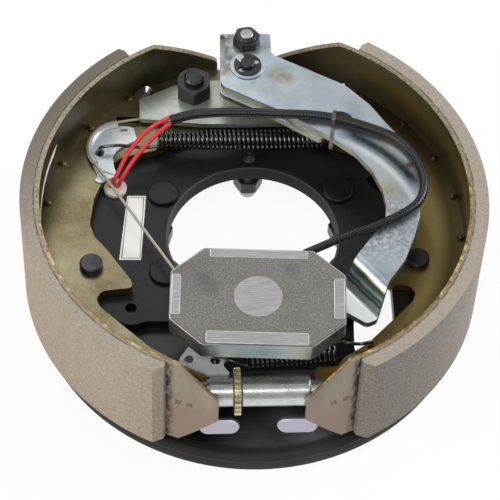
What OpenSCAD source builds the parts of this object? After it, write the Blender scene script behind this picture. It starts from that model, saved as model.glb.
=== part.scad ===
// Electric drum brake of a trailer axle, left-hand adjuster cable, lying on its back.
// Millimetres. +Z comes out of the open side, the hub axis is X = Y = 0,
// the anchor post is on +Y and Z = 0 is the turned edge of the backing plate.

/* [Backing plate] */
// Outer radius of the backing plate
plate_r = 149; // [146:0.5:152]
// Sheet thickness of the backing plate
plate_t = 3; // [2:0.5:4]
// Height of the plate's outer floor
floor_z = 11; // [9:0.5:14]
// Height of the plate's raised middle
island_z = 50.5; // [48:0.5:52]
// Radius of the raised middle
island_r = 124; // [120:1:126]
// Radius of the hub hole
hub_r = 57.5; // [52:0.5:60]
// Thickness of the spider plate
spider_t = 8; // [6:0.5:8]

/* [Mounting studs] */
// Circle diameter of the mounting studs
stud_pcd = 133.35; // [130:0.05:136]
// Radius of a mounting stud
stud_r = 5.55; // [4.5:0.05:6]

/* [Shoes and linings] */
// Radius of the lining's face
lining_r = 155.2; // [153:0.1:157]
// Thickness of the lining
lining_t = 9.5; // [6:0.1:11]
// Height of the lower edge of the shoes
shoe_z = 20.3; // [16:0.1:24]
// Width of the shoes
shoe_w = 85.7; // [80:0.1:88]
// Thickness of the shoe's rim
rim_t = 3.4; // [2.5:0.1:4]
// Thickness of the shoe's web
web_t = 6.4; // [5:0.1:7]

/* [Anchor] */
// Radius of the anchor post
post_r = 12.7; // [11:0.1:13]
// Distance of the anchor post from the hub axis
post_y = 115; // [112:0.5:118]
// Distance of each anchor stud from the post
anchor_x = 37; // [34:0.5:40]
// Thickness of the guide plate
guide_t = 4; // [3:0.5:5]
// Width across flats of the anchor nuts
anchor_af = 22.2; // [19:0.1:24]

/* [Magnet arm] */
// Height of the arm's upper face
arm_z = 100; // [98:0.5:102]
// Thickness of the arm
arm_t = 5; // [4:0.5:6]
// Distance of the toggle from the anchor post
toggle_d = 21.5; // [21.5:0.1:22]

/* [Magnet] */
// Half length of the magnet's face
face_a = 55.6; // [54:0.1:57]
// Half width of the magnet's face
face_b = 36.8; // [35:0.1:37.5]
// Height of the magnet's face
face_z = 108; // [107:0.5:109]
// Radius of the round core
core_r = 15.7; // [13:0.1:18]
// Height of the magnet's face over the arm's lowered end
magnet_h = 24; // [23:0.5:25]

/* [Adjuster] */
// Radius of the star wheel
star_r = 15.5; // [14:0.1:15.6]
// Number of teeth of the star wheel
star_teeth = 24; // [18:1:30]
// Radius of the adjuster tube
tube_r = 10; // [9:0.1:10.2]

/* [Springs and cable] */
// Wire radius of the return springs
wire_r = 1.15; // [0.9:0.05:1.3]
// Mean coil radius of the return springs
coil_r = 5.85; // [5:0.05:6]
// Radius of the adjuster cable
cable_r = 1; // [0.8:0.05:1.1]

/* [Hidden] */
$fn = 96;

// Levels
shoe_top = shoe_z + shoe_w;
web_mid = shoe_z + shoe_w / 2;
web_lo = web_mid - web_t / 2;
web_hi = web_mid + web_t / 2;
spider_z = island_z + spider_t;
plate_under = island_z - plate_t;
guide_z = web_hi + 2.4;
guide_top = guide_z + guide_t;
arm_under = arm_z - arm_t;
doubler_under = arm_under - 4;
low_z = face_z - magnet_h;
pan_z = face_z - 14.6;
// Radii
rim_r = lining_r - lining_t;
rim_in = rim_r - rim_t;
// Adjuster and hold-down places
adj_y = -127.7;
hold = [109, -29];
lever_at = [-46, -106];
guide_at = [-88, 68];
guide_r = 22.5;
magnet_at = [-1.5, -84.5];
grommet_at = [-92.6, 41.6];
magnet_turn = -3.3;
toggle_y = post_y + toggle_d;
// Direction across the joggle, towards the magnet
bend_at = [72, -60];
bend_az = 216.87;
star_x = -17.6;
star_w = 4.2;
sleeve_x = -33;

function unit(v) = v / norm(v);
function flat(b) = [b[0], b[1]];

// Points of one rounded corner b between a and c, where b holds [x, y, radius].
function corner(a, b, c, n) = b[2] <= 0 ? [flat(b)] :
    let(p = flat(b),
        u = unit(flat(a) - p),
        v = unit(flat(c) - p),
        half = acos(u * v) / 2,
        m = p + unit(u + v) * b[2] / sin(half),
        s = p + u * b[2] / tan(half) - m,
        e = p + v * b[2] / tan(half) - m,
        a0 = atan2(s[1], s[0]),
        d = ((atan2(e[1], e[0]) - a0 + 540) % 360) - 180)
    [for (i = [0:n]) m + b[2] * [cos(a0 + d * i / n), sin(a0 + d * i / n)]];

function rounded(pts, n = 6) = [for (i = [0:len(pts) - 1])
    each corner(pts[(i + len(pts) - 1) % len(pts)], pts[i], pts[(i + 1) % len(pts)], n)];

function mirrored(pts) = [for (i = [len(pts) - 1:-1:0]) [-pts[i][0], pts[i][1], pts[i][2]]];

// One smooth curve through the route points, n steps between two of them.
function knot(a, b, c, d, t) = 0.5 * (2 * b + (c - a) * t + (2 * a - 5 * b + 4 * c - d) * t * t
    + (3 * b - a - 3 * c + d) * t * t * t);
function route(p, n) = [for (i = [0:len(p) - 2], k = [0:n - 1])
    knot(p[max(i - 1, 0)], p[i], p[i + 1], p[min(i + 2, len(p) - 1)], k / n), p[len(p) - 1]];

// Helix about the line from a to b.
function helix(a, b, r, turns, n, start = 0) =
    let(w = unit(b - a),
        e1 = unit(cross(w, [0, 0, 1])),
        e2 = cross(w, e1))
    [for (i = [0:turns * n]) a + (b - a) * i / (turns * n)
        + r * (cos(start + 360 * i / n) * e1 + sin(start + 360 * i / n) * e2)];

// Helix about a vertical line.
function coil(at, z0, z1, r, turns, n) = [for (i = [0:turns * n])
    [at[0] + r * cos(360 * i / n), at[1] + r * sin(360 * i / n), z0 + (z1 - z0) * i / (turns * n)]];

function along(p, i) = unit(p[min(i + 1, len(p) - 1)] - p[max(i - 1, 0)]);
function square_to(u, t) = unit(u - t * (u * t));

// Round wire swept along the points p.
module wire(p, r, n = 8, up = [0.3, 0.2, 1]) {
    last = len(p) - 1;
    ups = [for (i = 0, u = square_to(up, along(p, 0)); i <= last;
        i = i + 1, u = square_to(u, along(p, min(i, last)))) u];
    pts = [for (i = [0:last]) let(t = along(p, i), v = cross(t, ups[i])) for (k = [0:n - 1])
        p[i] + r * (cos(360 * k / n) * ups[i] + sin(360 * k / n) * v)];
    sides = [for (i = [0:last - 1], k = [0:n - 1]) each [
        [i * n + k, (i + 1) * n + k, (i + 1) * n + (k + 1) % n],
        [i * n + k, (i + 1) * n + (k + 1) % n, i * n + (k + 1) % n]]];
    caps = [[for (k = [0:n - 1]) k], [for (k = [n - 1:-1:0]) last * n + k]];
    polyhedron(points = pts, faces = concat(sides, caps), convexity = 10);
}

// Solid of revolution about a vertical line, points [radius, height, rounding].
module turned(pts, at = [0, 0]) {
    translate([at[0], at[1], 0])
    rotate_extrude()
    polygon(rounded(pts));
}

module disc(r, z0, z1, at = [0, 0]) {
    translate([at[0], at[1], z0])
    cylinder(r = r, h = z1 - z0);
}

module slab(pts, z0, z1, n = 6) {
    translate([0, 0, z0])
    linear_extrude(height = z1 - z0)
    polygon(rounded(pts, n));
}

// Sector of a ring about the hub axis.
module sector(r0, r1, z0, z1, a0, a1) {
    rotate([0, 0, a0])
    rotate_extrude(angle = a1 - a0)
    translate([r0, z0])
    square([r1 - r0, z1 - z0]);
}

// Hexagon with both faces bevelled.
module hexagon(af, z0, z1, at, turn = 0, bevel = 1.2) {
    c = af / 2 / cos(30);
    intersection() {
        translate([at[0], at[1], z0])
        rotate([0, 0, turn])
        cylinder(r = c, h = z1 - z0, $fn = 6);
        turned([[0, z0, 0], [c - bevel, z0, 0], [c + 0.2, z0 + bevel * 0.7, 0],
            [c + 0.2, z1 - bevel * 0.7, 0], [c - bevel, z1, 0], [0, z1, 0]], at);
    }
}

// The raised middle of the plate, drawn d smaller all round.
module island(d) {
    difference() {
        intersection() {
            circle(r = 139.5 - d);
            union() {
                circle(r = island_r - d);
                polygon(rounded([[-62 + d, 40, 0], [62 - d, 40, 0], [62 - d, 137 - d, 14],
                    [-62 + d, 137 - d, 14]]));
            }
        }
        translate([-150, -204 + d])
        square([300, 100]);
    }
}

window = [[63.5, -93, 6], [91, -93, 6], [91, -36, 6], [66, -36, 10]];

module five() {
    for (a = [90, 162, 234, 306, 18])
        rotate([0, 0, a])
        translate([stud_pcd / 2, 0, 0])
        children();
}

module backing_plate() {
    color("#2a2b2c")
    difference() {
        union() {
            rotate_extrude()
            polygon(rounded([[0, floor_z - plate_t, 0], [plate_r - plate_t, floor_z - plate_t, 4],
                [plate_r - plate_t, 0, 0], [plate_r, 0, 0.8], [plate_r, floor_z, 7],
                [0, floor_z, 0]]));
            translate([0, 0, floor_z - plate_t])
            linear_extrude(height = island_z - floor_z + plate_t)
            island(0);
        }
        translate([0, 0, floor_z - plate_t - 1])
        linear_extrude(height = plate_under - floor_z + plate_t + 1)
        island(plate_t);
        disc(hub_r, 0, 60);
        slab(window, 40, 60);
        for (s = [-1, 1])
            slab([[s * 26 - 13.5, -127.2, 6.2], [s * 26 + 13.5, -127.2, 6.2],
                [s * 26 + 13.5, -114.8, 6.2], [s * 26 - 13.5, -114.8, 6.2]], 0, 20, 10);
        for (s = [-1, 1])
            disc(3.6, 40, 60, [s * hold[0], hold[1]]);
        for (s = [-1, 1])
            disc(8.2, 40, 60, [s * anchor_x, post_y]);
        disc(10.2, 40, 60, [0, post_y]);
        disc(6.6, 40, 60, grommet_at);
        for (p = rivet_at)
            disc(6.1, 40, 60, p);
        five()
        translate([0, 0, 40])
        cylinder(r = stud_r + 0.1, h = 20);
    }
}

rivet_at = [[-60, 36.5], [60, 36.5], [-60, -29.5], [60, -29.5]];

spider_half = [[0, -69.4, 0], [73, -68.4, 4], [79, -70.5, 6], [86, -71, 8], [98, -64, 8],
    [112, -55, 8], [96, -38, 8], [113, -10, 10], [114, 30, 12], [104, 58, 14], [80, 84, 14],
    [58, 98, 8], [56, 131, 14], [0, 131, 0]];

module spider() {
    color("#242526")
    difference() {
        translate([0, 0, island_z])
        linear_extrude(height = spider_t)
        intersection() {
            circle(r = 136);
            union() {
                polygon(rounded(spider_half));
                polygon(rounded(mirrored(spider_half)));
            }
        }
        disc(hub_r, 40, 60);
        slab(window, 40, 60);
        slab([[80, 47.4, 2], [84.9, 36.9, 2], [92.9, 33.9, 2], [87.1, 53.1, 2]], 40, 60);
        disc(3.75, 40, 60, [-83, -57.5]);
        disc(4.75, 40, 60, [0, 67.5]);
        disc(6.6, 40, 60, grommet_at);
        disc(10.2, 40, 60, [0, post_y]);
        for (s = [-1, 1])
            disc(8.2, 40, 60, [s * anchor_x, post_y]);
        for (p = rivet_at)
            disc(6.1, 40, 60, p);
        five()
        translate([0, 0, island_z - 1])
        cylinder(r = 8.8, h = 5.2);
    }
}

module spider_rivets() {
    color("#2a2b2c")
    for (p = rivet_at)
        turned([[0, 45, 0], [9, 45, 1.5], [9, plate_under, 0], [6, plate_under, 0],
            [6, spider_z, 0], [10.5, spider_z, 0], [10.5, spider_z + 3, 1.2],
            [0, spider_z + 3, 0]], p);
}

module mounting_studs() {
    color("#a8a9a4")
    five()
    rotate_extrude()
    polygon([[0, 20], [stud_r - 1.2, 20], [stud_r - 0.18, 21], [stud_r - 0.18, 29.6],
        [stud_r, 29.8], [stud_r, island_z], [8.6, island_z],
        [8.6, island_z + 4], [0, island_z + 4]]);
}

module mounting_nuts() {
    color("#3a3b3c")
    difference() {
        five()
        hexagon(17.5, 30, 40, [0, 0], 30, 1.2);
        five()
        translate([0, 0, 20])
        cylinder(r = stud_r, h = 30);
    }
}

module anchor_studs() {
    color("#2c2c2d")
    for (s = [-1, 1])
        turned([[0, 42.5, 0], [11, 42.5, 2], [11, plate_under, 0], [8, plate_under, 0],
            [8, guide_z, 0], [7, guide_z, 0], [7, guide_top + 16.4, 0.4],
            [5.6, guide_top + 17.8, 0.4], [0, guide_top + 17.8, 0]],
            [s * anchor_x, post_y]);
}

module anchor_nuts() {
    color("#333334")
    difference() {
        for (s = [-1, 1])
            hexagon(anchor_af, guide_top, guide_top + 13, [s * anchor_x, post_y], 30, 1.6);
        for (s = [-1, 1])
            disc(7, guide_top - 1, guide_top + 20, [s * anchor_x, post_y]);
    }
}

guide_half = [[0, 86, 0], [32, 86.5, 10], [75, 92, 2], [75, 109, 2], [50, 121.5, 14],
    [26, 125.5, 10], [0, 125.5, 0]];

module guide_plate() {
    color("#b2b9bb")
    difference() {
        translate([0, 0, guide_z])
        linear_extrude(height = guide_t)
        union() {
            polygon(rounded(guide_half));
            polygon(rounded(mirrored(guide_half)));
        }
        for (s = [-1, 1])
            disc(7.2, 60, 80, [s * anchor_x, post_y]);
        disc(8.2, 60, 80, [0, post_y]);
    }
}

module anchor_post() {
    color("#2f3031")
    turned([[0, 42.5, 0], [13, 42.5, 2.5], [13, plate_under, 0], [10, plate_under, 0],
        [10, spider_z, 0], [post_r, spider_z, 0], [post_r, guide_z, 0], [8, guide_z, 0],
        [8, arm_z + 0.2, 0], [5, arm_z + 0.2, 0], [5, arm_z + 1.3, 0], [4.1, arm_z + 1.3, 0],
        [4.1, arm_z + 2.5, 0], [5, arm_z + 2.5, 0], [5, arm_z + 5, 1.2], [0, arm_z + 5, 0]],
        [0, post_y]);
}

module post_spacer() {
    color("#b8bfc2")
    turned([[8.1, guide_top, 0], [10.7, guide_top, 0.6], [10.7, doubler_under - 0.2, 0.6],
        [8.1, doubler_under - 0.2, 0]], [0, post_y]);
}

module pivot_washer() {
    color("#c8cdd0")
    turned([[5.1, arm_z + 0.2, 0], [12, arm_z + 0.2, 0.3], [12, arm_z + 1.2, 0.3],
        [5.1, arm_z + 1.2, 0]], [0, post_y]);
}

module pivot_clip() {
    color("#2a2a2b")
    translate([0, post_y, arm_z + 1.4])
    linear_extrude(height = 1)
    difference() {
        circle(r = 9.5);
        circle(r = 4.2);
        rotate([0, 0, 125])
        translate([0, -3])
        square([12, 6]);
        for (a = [25, 225])
            rotate([0, 0, a])
            translate([6.2, 0])
            circle(r = 2.4);
    }
}

module toggle_bolt() {
    color("#9a9c9c")
    turned([[0, web_lo + 0.2, 0], [7, web_lo + 0.2, 0.8], [7, web_lo + 1.6, 0],
        [4.5, web_lo + 1.6, 0], [4.5, arm_z + 10, 0.9], [0, arm_z + 10, 0]], [0, toggle_y]);
}

module toggle_nut() {
    color("#353637")
    difference() {
        union() {
            hexagon(16.5, arm_z, arm_z + 7, [0, toggle_y], 10, 1);
            turned([[0, arm_z + 5, 0], [7.2, arm_z + 5, 0], [7.2, arm_z + 8.6, 1.8],
                [0, arm_z + 8.6, 0]], [0, toggle_y]);
        }
        disc(4.5, arm_z - 1, arm_z + 12, [0, toggle_y]);
    }
}

module toggle_sleeve() {
    color("#8d8f90")
    difference() {
        turned([[0, web_lo + 1.6, 0], [8.5, web_lo + 1.6, 0.5], [8.5, doubler_under, 0.5],
            [0, doubler_under, 0]], [0, toggle_y]);
        disc(4.5, web_lo, arm_z, [0, toggle_y]);
    }
}

arm_plan = [[-18, 144.8, 2], [-19, 98.4, 8], [23.6, 73.8, 30], [53.6, 51.8, 40],
    [69.6, 37.8, 20], [79.6, 22.8, 20], [85.6, 5.8, 20], [87.2, -7.2, 10], [85.6, -19.2, 10],
    [70.6, -39.8, 20], [56, -60, 4], [30, -66, 20], [-1, -70, 14], [-17, -84.5, 14],
    [-1.5, -100, 14], [34, -96, 20], [56, -81, 4], [69.6, -90.8, 4], [76, -88, 4],
    [85.2, -67.8, 12], [96.2, -52.2, 20], [104.2, -32.2, 20], [109.2, -15.8, 20],
    [110.2, 13.8, 30], [107.6, 30.8, 20], [99.6, 51.8, 30], [91.6, 63.8, 30],
    [82.6, 78.8, 20], [66.6, 96.8, 30], [17, 125.8, 6], [17, 144.4, 2]];

module arm_profile() {
    translate([bend_at[0], bend_at[1], 0])
    rotate([0, 0, bend_az])
    rotate([90, 0, 0])
    translate([0, 0, -260])
    linear_extrude(height = 520)
    polygon(rounded([[-320, arm_under, 0], [-2.4, arm_under, 3], [10, low_z - arm_t, 8],
        [120, low_z - arm_t, 0], [120, low_z, 0], [12.4, low_z, 3], [0, arm_z, 8],
        [-320, arm_z, 0]]));
}

module magnet_arm() {
    color("#bcc6cb")
    difference() {
        intersection() {
            slab(arm_plan, 70, 110, 8);
            arm_profile();
        }
        disc(8.05, 70, 120, [0, post_y]);
        disc(4.5, 70, 120, [0, toggle_y]);
        disc(6.6, 70, 120, magnet_at);
    }
}

module arm_doubler() {
    color("#aab4b9")
    difference() {
        slab([[-18, 144.4, 2], [-19.5, 95, 6], [22, 70.5, 20], [48, 52, 6], [62, 66, 8],
            [40, 106, 10], [17, 122, 6], [17, 144, 2]], doubler_under, arm_under);
        disc(8.05, 70, 120, [0, post_y]);
        disc(4.5, 70, 120, [0, toggle_y]);
    }
}

function arc(r, a0, a1, n, at = [0, 0]) = [for (i = [0:n])
    let(a = a0 + (a1 - a0) * i / n) [at[0] + r * cos(a), at[1] + r * sin(a)]];

// Strap over the sleeve, hooked under the arm's inner edge.
module lead_clip() {
    color("#b9bfc2")
    translate([56.6, 64.9, arm_z])
    rotate([0, 0, -9])
    rotate([90, 0, 90])
    translate([0, 0, -1.3])
    linear_extrude(height = 2.6)
    polygon(concat([[-19.4, -6], [-19.4, 0.9]], arc(4.7, 215, -35, 14, [0, 3.6]),
        [[9.5, 0.9], [9.5, 0], [2.35, 0]], arc(3.65, -50, 230, 14, [0, 3.6]),
        [[-2.35, 0], [-18.5, 0], [-18.5, -6]]));
}

module at_magnet() {
    translate([magnet_at[0], magnet_at[1], 0])
    rotate([0, 0, magnet_turn])
    children();
}

// Outline of the magnet, d larger all round.
function magnet_plan(d, r = 3) = let(a = face_a + d, b = face_b + d,
    u = face_a - 20.5 + 0.4 * d, v = face_b - 18.5 + 0.4 * d)
    [[-a, -v, r], [-u, -b, r], [u, -b, r], [a, -v, r], [a, v, r], [u, b, r], [-u, b, r],
    [-a, v, r]];

// Pole bars along the four sides: near, far, left and right.
module bars(z0, z1) {
    translate([-32.5, -face_b - 3, z0])
    cube([65, 12, z1 - z0]);
    translate([-31.6, face_b - 6.4, z0])
    cube([63.2, 9.4, z1 - z0]);
    translate([-face_a - 3, -15.5, z0])
    cube([8.6, 31, z1 - z0]);
    translate([face_a - 6.8, -15.5, z0])
    cube([9.8, 31, z1 - z0]);
}

module pole_frame() {
    color("#9f9ea0")
    at_magnet()
    difference() {
        union() {
            slab(magnet_plan(-0.2), face_z - 13, face_z - 9.6);
            intersection() {
                slab(magnet_plan(-0.2), face_z - 13, face_z);
                bars(face_z - 13, face_z);
            }
        }
        translate([0, 0, face_z - 20])
        cylinder(r = 10.1, h = 30);
    }
}

module magnet_core() {
    color("#b3b2b3")
    at_magnet()
    difference() {
        translate([0, 0, face_z - 9.6])
        cylinder(r = core_r, h = 9.6);
        translate([0, 0, face_z - 10])
        cylinder(r = 6.2, h = 5);
    }
}

module magnet_face() {
    color("#7d7b77")
    at_magnet()
    difference() {
        slab(magnet_plan(-0.2), face_z - 9.6, face_z - 0.2);
        bars(face_z - 11, face_z + 1);
        translate([0, 0, face_z - 11])
        cylinder(r = core_r, h = 20);
        translate([0, 0, face_z - 11])
        cylinder(r = 28.2, h = 8);
    }
}

module magnet_coil() {
    color("#b8733a")
    at_magnet()
    translate([0, 0, face_z - 9.6])
    difference() {
        cylinder(r = 27.6, h = 6.4);
        translate([0, 0, -1])
        cylinder(r = core_r + 0.2, h = 9);
    }
}

module magnet_housing() {
    color("#b2bcbf")
    at_magnet()
    difference() {
        slab(magnet_plan(0.9, 4), pan_z, face_z - 0.9);
        slab(magnet_plan(-0.15), face_z - 13, face_z);
        translate([0, 0, face_z - 20])
        cylinder(r = 10.1, h = 30);
    }
}

module magnet_stud() {
    color("#8f9192")
    at_magnet()
    rotate_extrude()
    polygon([[0, low_z - 12], [5.2, low_z - 12], [6, low_z - 11.2], [6, low_z - 9.8],
        [4.8, low_z - 9.8], [4.8, low_z - 8.4], [6, low_z - 8.4],
        [6, pan_z], [10, pan_z], [10, face_z - 9.6], [6, face_z - 9.6],
        [6, face_z - 6], [0, face_z - 6]]);
}

module magnet_spring() {
    color("#a4a7a8")
    wire(coil(magnet_at, low_z + 0.8, pan_z - 0.8, 9.5, 3, 16), 0.8, 6, [1, 0, 0]);
}

module magnet_clip() {
    color("#b9bcbd")
    at_magnet()
    translate([0, 0, low_z - 9.7])
    linear_extrude(height = 1.2)
    difference() {
        circle(r = 7);
        circle(r = 4.9);
        translate([0, -3.6])
        square([12, 7.2]);
    }
}

sleeve_route = [[-53.7, 74.5, 92], [-45, 75.2, 95], [-34, 75.4, 97.5], [-10, 73.8, 100.6],
    [20, 69.8, 103.2], [40, 68.2, 103.6], [57, 64.9, 103.6], [77, 57.6, 103.6],
    [97, 46.9, 103.6], [107.4, 33.7, 103.6], [112.2, 19.2, 103.6], [113, 5.6, 103.6],
    [108, -7.6, 103.6], [95.2, -18.1, 103.6], [74.6, -28.4, 103.6], [57.8, -34.4, 102.8],
    [44.5, -39.5, 100.8], [31, -45.3, 99.6]];

module lead_sleeve() {
    color("#1d1d1e")
    wire(route(sleeve_route, 4), 3.4, 12);
}

wire_a = [[-54.6, 75.6, 93.2], [-58, 75, 91.8], [-68, 72.6, 87.4], [-77, 64, 83], [-85, 56, 77.4],
    [-89.8, 46.8, 71.4], [-94.2, 41.9, 65.6], [-95, 42, 60.6], [-95, 42, 46]];
wire_b = [[-53.5, 73, 90.4], [-58, 71.2, 89], [-65, 66, 85.6], [-73, 59, 81], [-81, 52, 75],
    [-86.6, 45.2, 69], [-89.8, 42.2, 64], [-90.4, 42, 60.4], [-90.4, 42, 46]];

module lead_wires() {
    color("#e23a40") {
        wire(route(wire_a, 4), 1.5, 8, [0, 0, 1]);
        wire(route(wire_b, 4), 1.5, 8, [0, 0, 1]);
    }
}

tail_a = [[-95, 42, 46], [-95, 42, 30], [-97, 40, 12], [-101, 28, 2.4], [-103, 8, 1.6],
    [-101, -14, 1.6], [-95, -36, 1.6], [-84, -56, 1.6]];
tail_b = [[-90.4, 42, 46], [-90.4, 42, 30], [-89, 40, 12], [-93, 27, 2.4], [-96, 8, 1.6],
    [-94, -13, 1.6], [-87, -34, 1.6], [-76, -52, 1.6]];

module lead_tail_a() {
    color("#e23a40")
    wire(route(tail_a, 4), 1.5, 8, [1, 0, 0]);
}

module lead_tail_b() {
    color("#e23a40")
    wire(route(tail_b, 4), 1.5, 8, [1, 0, 0]);
}

module wire_grommet() {
    color("#d9d5c4")
    difference() {
        turned([[0, plate_under - 2.5, 0], [9, plate_under - 2.5, 1], [9, plate_under, 0],
            [6.5, plate_under, 0], [6.5, spider_z, 0], [8, spider_z, 0],
            [8, spider_z + 2.6, 1.2], [0, spider_z + 2.6, 0]], grommet_at);
        disc(1.6, 40, 70, [-95, 42]);
        disc(1.6, 40, 70, [-90.4, 42]);
        translate([-93, 42, spider_z - 3])
        cube([0.8, 14, 8]);
    }
}

far_keep = [[19.5, 52, 6], [19.5, 75, 6], [66, 107, 6], [170, 107, 0], [170, 19, 0],
    [66, 19, 6]];
near_keep = [[28, 52.5, 4], [28, 74, 4], [54.5, 107, 3], [170, 107, 0], [170, 19, 0],
    [54.5, 19, 3]];

// Rim of the right-hand shoe with both tapered ends and its relief hole.
module shoe_table() {
    difference() {
        sector(rim_in, rim_r, shoe_z, shoe_top, -79.5, 83);
        difference() {
            translate([0, 0, 0])
            cube([160, 160, 120]);
            rotate([90, 0, 0])
            translate([0, 0, -160])
            linear_extrude(height = 160)
            polygon(rounded(far_keep));
        }
        difference() {
            translate([0, -160, 0])
            cube([160, 160, 120]);
            rotate([90, 0, 0])
            linear_extrude(height = 160)
            polygon(rounded(near_keep));
        }
        relief();
    }
}

// Oval hole at the far end of the right-hand rim and web.
module relief() {
    rotate([0, 0, 59])
    translate([rim_r - 9.7, 0, web_mid])
    rotate([0, 90, 0])
    scale([0.88, 1, 1])
    cylinder(r = 8, h = 9.6);
}

web_plan = [[35.2, -150, 0], [160, -150, 0], [160, 150, 0], [12.2, 150, 0], [12.2, 127, 3],
    [3, 121, 0], [3, 104, 0], [5.5, 100.6, 1.5], [32, 86, 10], [65, 69, 10], [87, 63, 6],
    [94, 58, 8], [102, 41, 12], [107, 27, 12], [110, 7, 14], [107, -4, 12], [98, -16, 12],
    [83, -40, 6], [81, -46.5, 3], [102, -49, 5], [106, -55, 5], [103, -62, 6], [71, -94.5, 10],
    [55, -105, 8], [50, -112, 3], [35.2, -112, 3]];

// Angles of the welds that join web and rim.
weld_at = [54.3, 39.1, 24.2, 10, -4.5, -19, -33.5, -48];

// Web of the right-hand shoe.
module web() {
    difference() {
        translate([0, 0, web_lo])
        linear_extrude(height = web_t)
        difference() {
            intersection() {
                circle(r = rim_in);
                polygon(rounded(web_plan));
            }
            translate([0, post_y])
            circle(r = post_r + 0.1);
            translate([anchor_x, post_y])
            circle(r = 10);
            translate(hold)
            circle(r = 6);
        }
        relief();
    }
    for (a = weld_at)
        turned([[0, web_hi - 1, 0], [2.3, web_hi - 1, 0], [2.3, web_hi + 0.8, 0],
            [1.5, web_hi + 2.2, 0.8], [0, web_hi + 2.5, 0]],
            (rim_in - 2.4) * [cos(a), sin(a)]);
}

module left_shoe_table() {
    color("#a39a76")
    mirror([1, 0, 0])
    shoe_table();
}

module right_shoe_table() {
    color("#a39a76")
    shoe_table();
}

module left_web() {
    color("#9b926f")
    difference() {
        mirror([1, 0, 0])
        web();
        slab([[-91, 93, 1], [-75, 93, 1], [-75, 99, 1], [-91, 99, 1]], 50, 80);
        disc(6, 50, 80, [-103, 66]);
        disc(4.6, 50, 80, lever_at);
    }
}

module right_web() {
    color("#9b926f")
    difference() {
        web();
        disc(2.2, 50, 80, [100, 67]);
        disc(2.2, 50, 80, [73.2, -97.7]);
    }
}

// Lining from angle a to angle b, with the near end bevelled.
module lining(a, b) {
    difference() {
        sector(rim_r, lining_r, shoe_z, shoe_top, a, b);
        rotate([0, 0, a])
        translate([rim_r, 0, 0])
        linear_extrude(height = 120)
        polygon([[3, -1], [12, -1], [12, 8]]);
        rotate([0, 0, b])
        translate([rim_r, 0, 0])
        linear_extrude(height = 120)
        polygon([[4, 1], [12, 1], [12, -4]]);
    }
}

module left_lining() {
    color("#918e8a")
    mirror([1, 0, 0])
    lining(-65, 56);
}

module right_lining() {
    color("#918e8a")
    lining(-65, 58);
}

module hold_pin(s) {
    turned([[0, plate_under - 3, 0], [7, plate_under - 3, 0.8], [7, plate_under, 0],
        [3, plate_under, 0], [3, web_hi + 3.4, 0], [0, web_hi + 3.4, 0]], [s * hold[0], hold[1]]);
}

module hold_spring(s) {
    wire(coil([s * hold[0], hold[1]], web_hi + 0.5, web_hi + 2.9, 5, 2, 12), 0.4, 6, [1, 0, 0]);
}

module hold_cup(s) {
    turned([[0, web_hi + 3.4, 0], [6.6, web_hi + 3.4, 0.4], [6.6, web_hi + 0.4, 0],
        [7.75, web_hi + 0.4, 0.3], [7.75, web_hi + 4.9, 1.2], [0, web_hi + 5.2, 0]],
        [s * hold[0], hold[1]]);
}

module left_hold_pin() {
    color("#3a3b3c")
    hold_pin(-1);
}

module right_hold_pin() {
    color("#3a3b3c")
    hold_pin(1);
}

module left_hold_spring() {
    color("#8a8c8d")
    hold_spring(-1);
}

module right_hold_spring() {
    color("#8a8c8d")
    hold_spring(1);
}

module left_hold_cup() {
    color("#29292a")
    hold_cup(-1);
}

module right_hold_cup() {
    color("#29292a")
    hold_cup(1);
}

guide_plan = [[-77, 77, 3], [-80, 90, 4], [-88, 91.4, 10], [-104, 84, 12], [-111.4, 68, 14],
    [-108, 56, 10], [-104, 45.5, 2], [-107, 42.4, 1.2], [-102.5, 40.6, 1.6], [-91.4, 46.6, 2],
    [-93, 53, 6], [-94, 62, 6], [-91, 68, 4], [-86, 72, 4]];

module cable_guide() {
    color("#b4bcbf")
    difference() {
        union() {
            translate([0, 0, web_hi])
            linear_extrude(height = 1.8)
            difference() {
                intersection() {
                    polygon(rounded(guide_plan));
                    union() {
                        translate(guide_at)
                        circle(r = guide_r - cable_r - 0.15);
                        translate([-112, 50])
                        square([30, 1]);
                    }
                }
            }
            translate([0, 0, web_hi])
            linear_extrude(height = 0.9)
            intersection() {
                polygon(rounded(guide_plan));
                translate([-112, 30])
                square([30, 26]);
            }
            intersection() {
                translate([guide_at[0], guide_at[1], 0])
                rotate([0, 0, 96])
                rotate_extrude(angle = 118)
                polygon([[19.5, web_hi], [21.3, web_hi], [21.3, web_hi + 3.1],
                    [23.9, web_hi + 3.5], [23.9, web_hi + 4.8], [21, web_hi + 4.8],
                    [19.5, web_hi + 3.4]]);
                slab([[-140, 30, 0], [-78, 30, 0], [-78, 100, 0], [-140, 100, 0]], 50, 80);
            }
            disc(5.9, web_lo, web_hi, [-103, 66]);
        }
        disc(3.2, 50, 80, [-103, 66]);
        slab([[-88.5, 84.6, 0.9], [-83.5, 84.6, 0.9], [-83.5, 86.8, 0.9], [-88.5, 86.8, 0.9]],
            50, 80, 3);
    }
}

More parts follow.
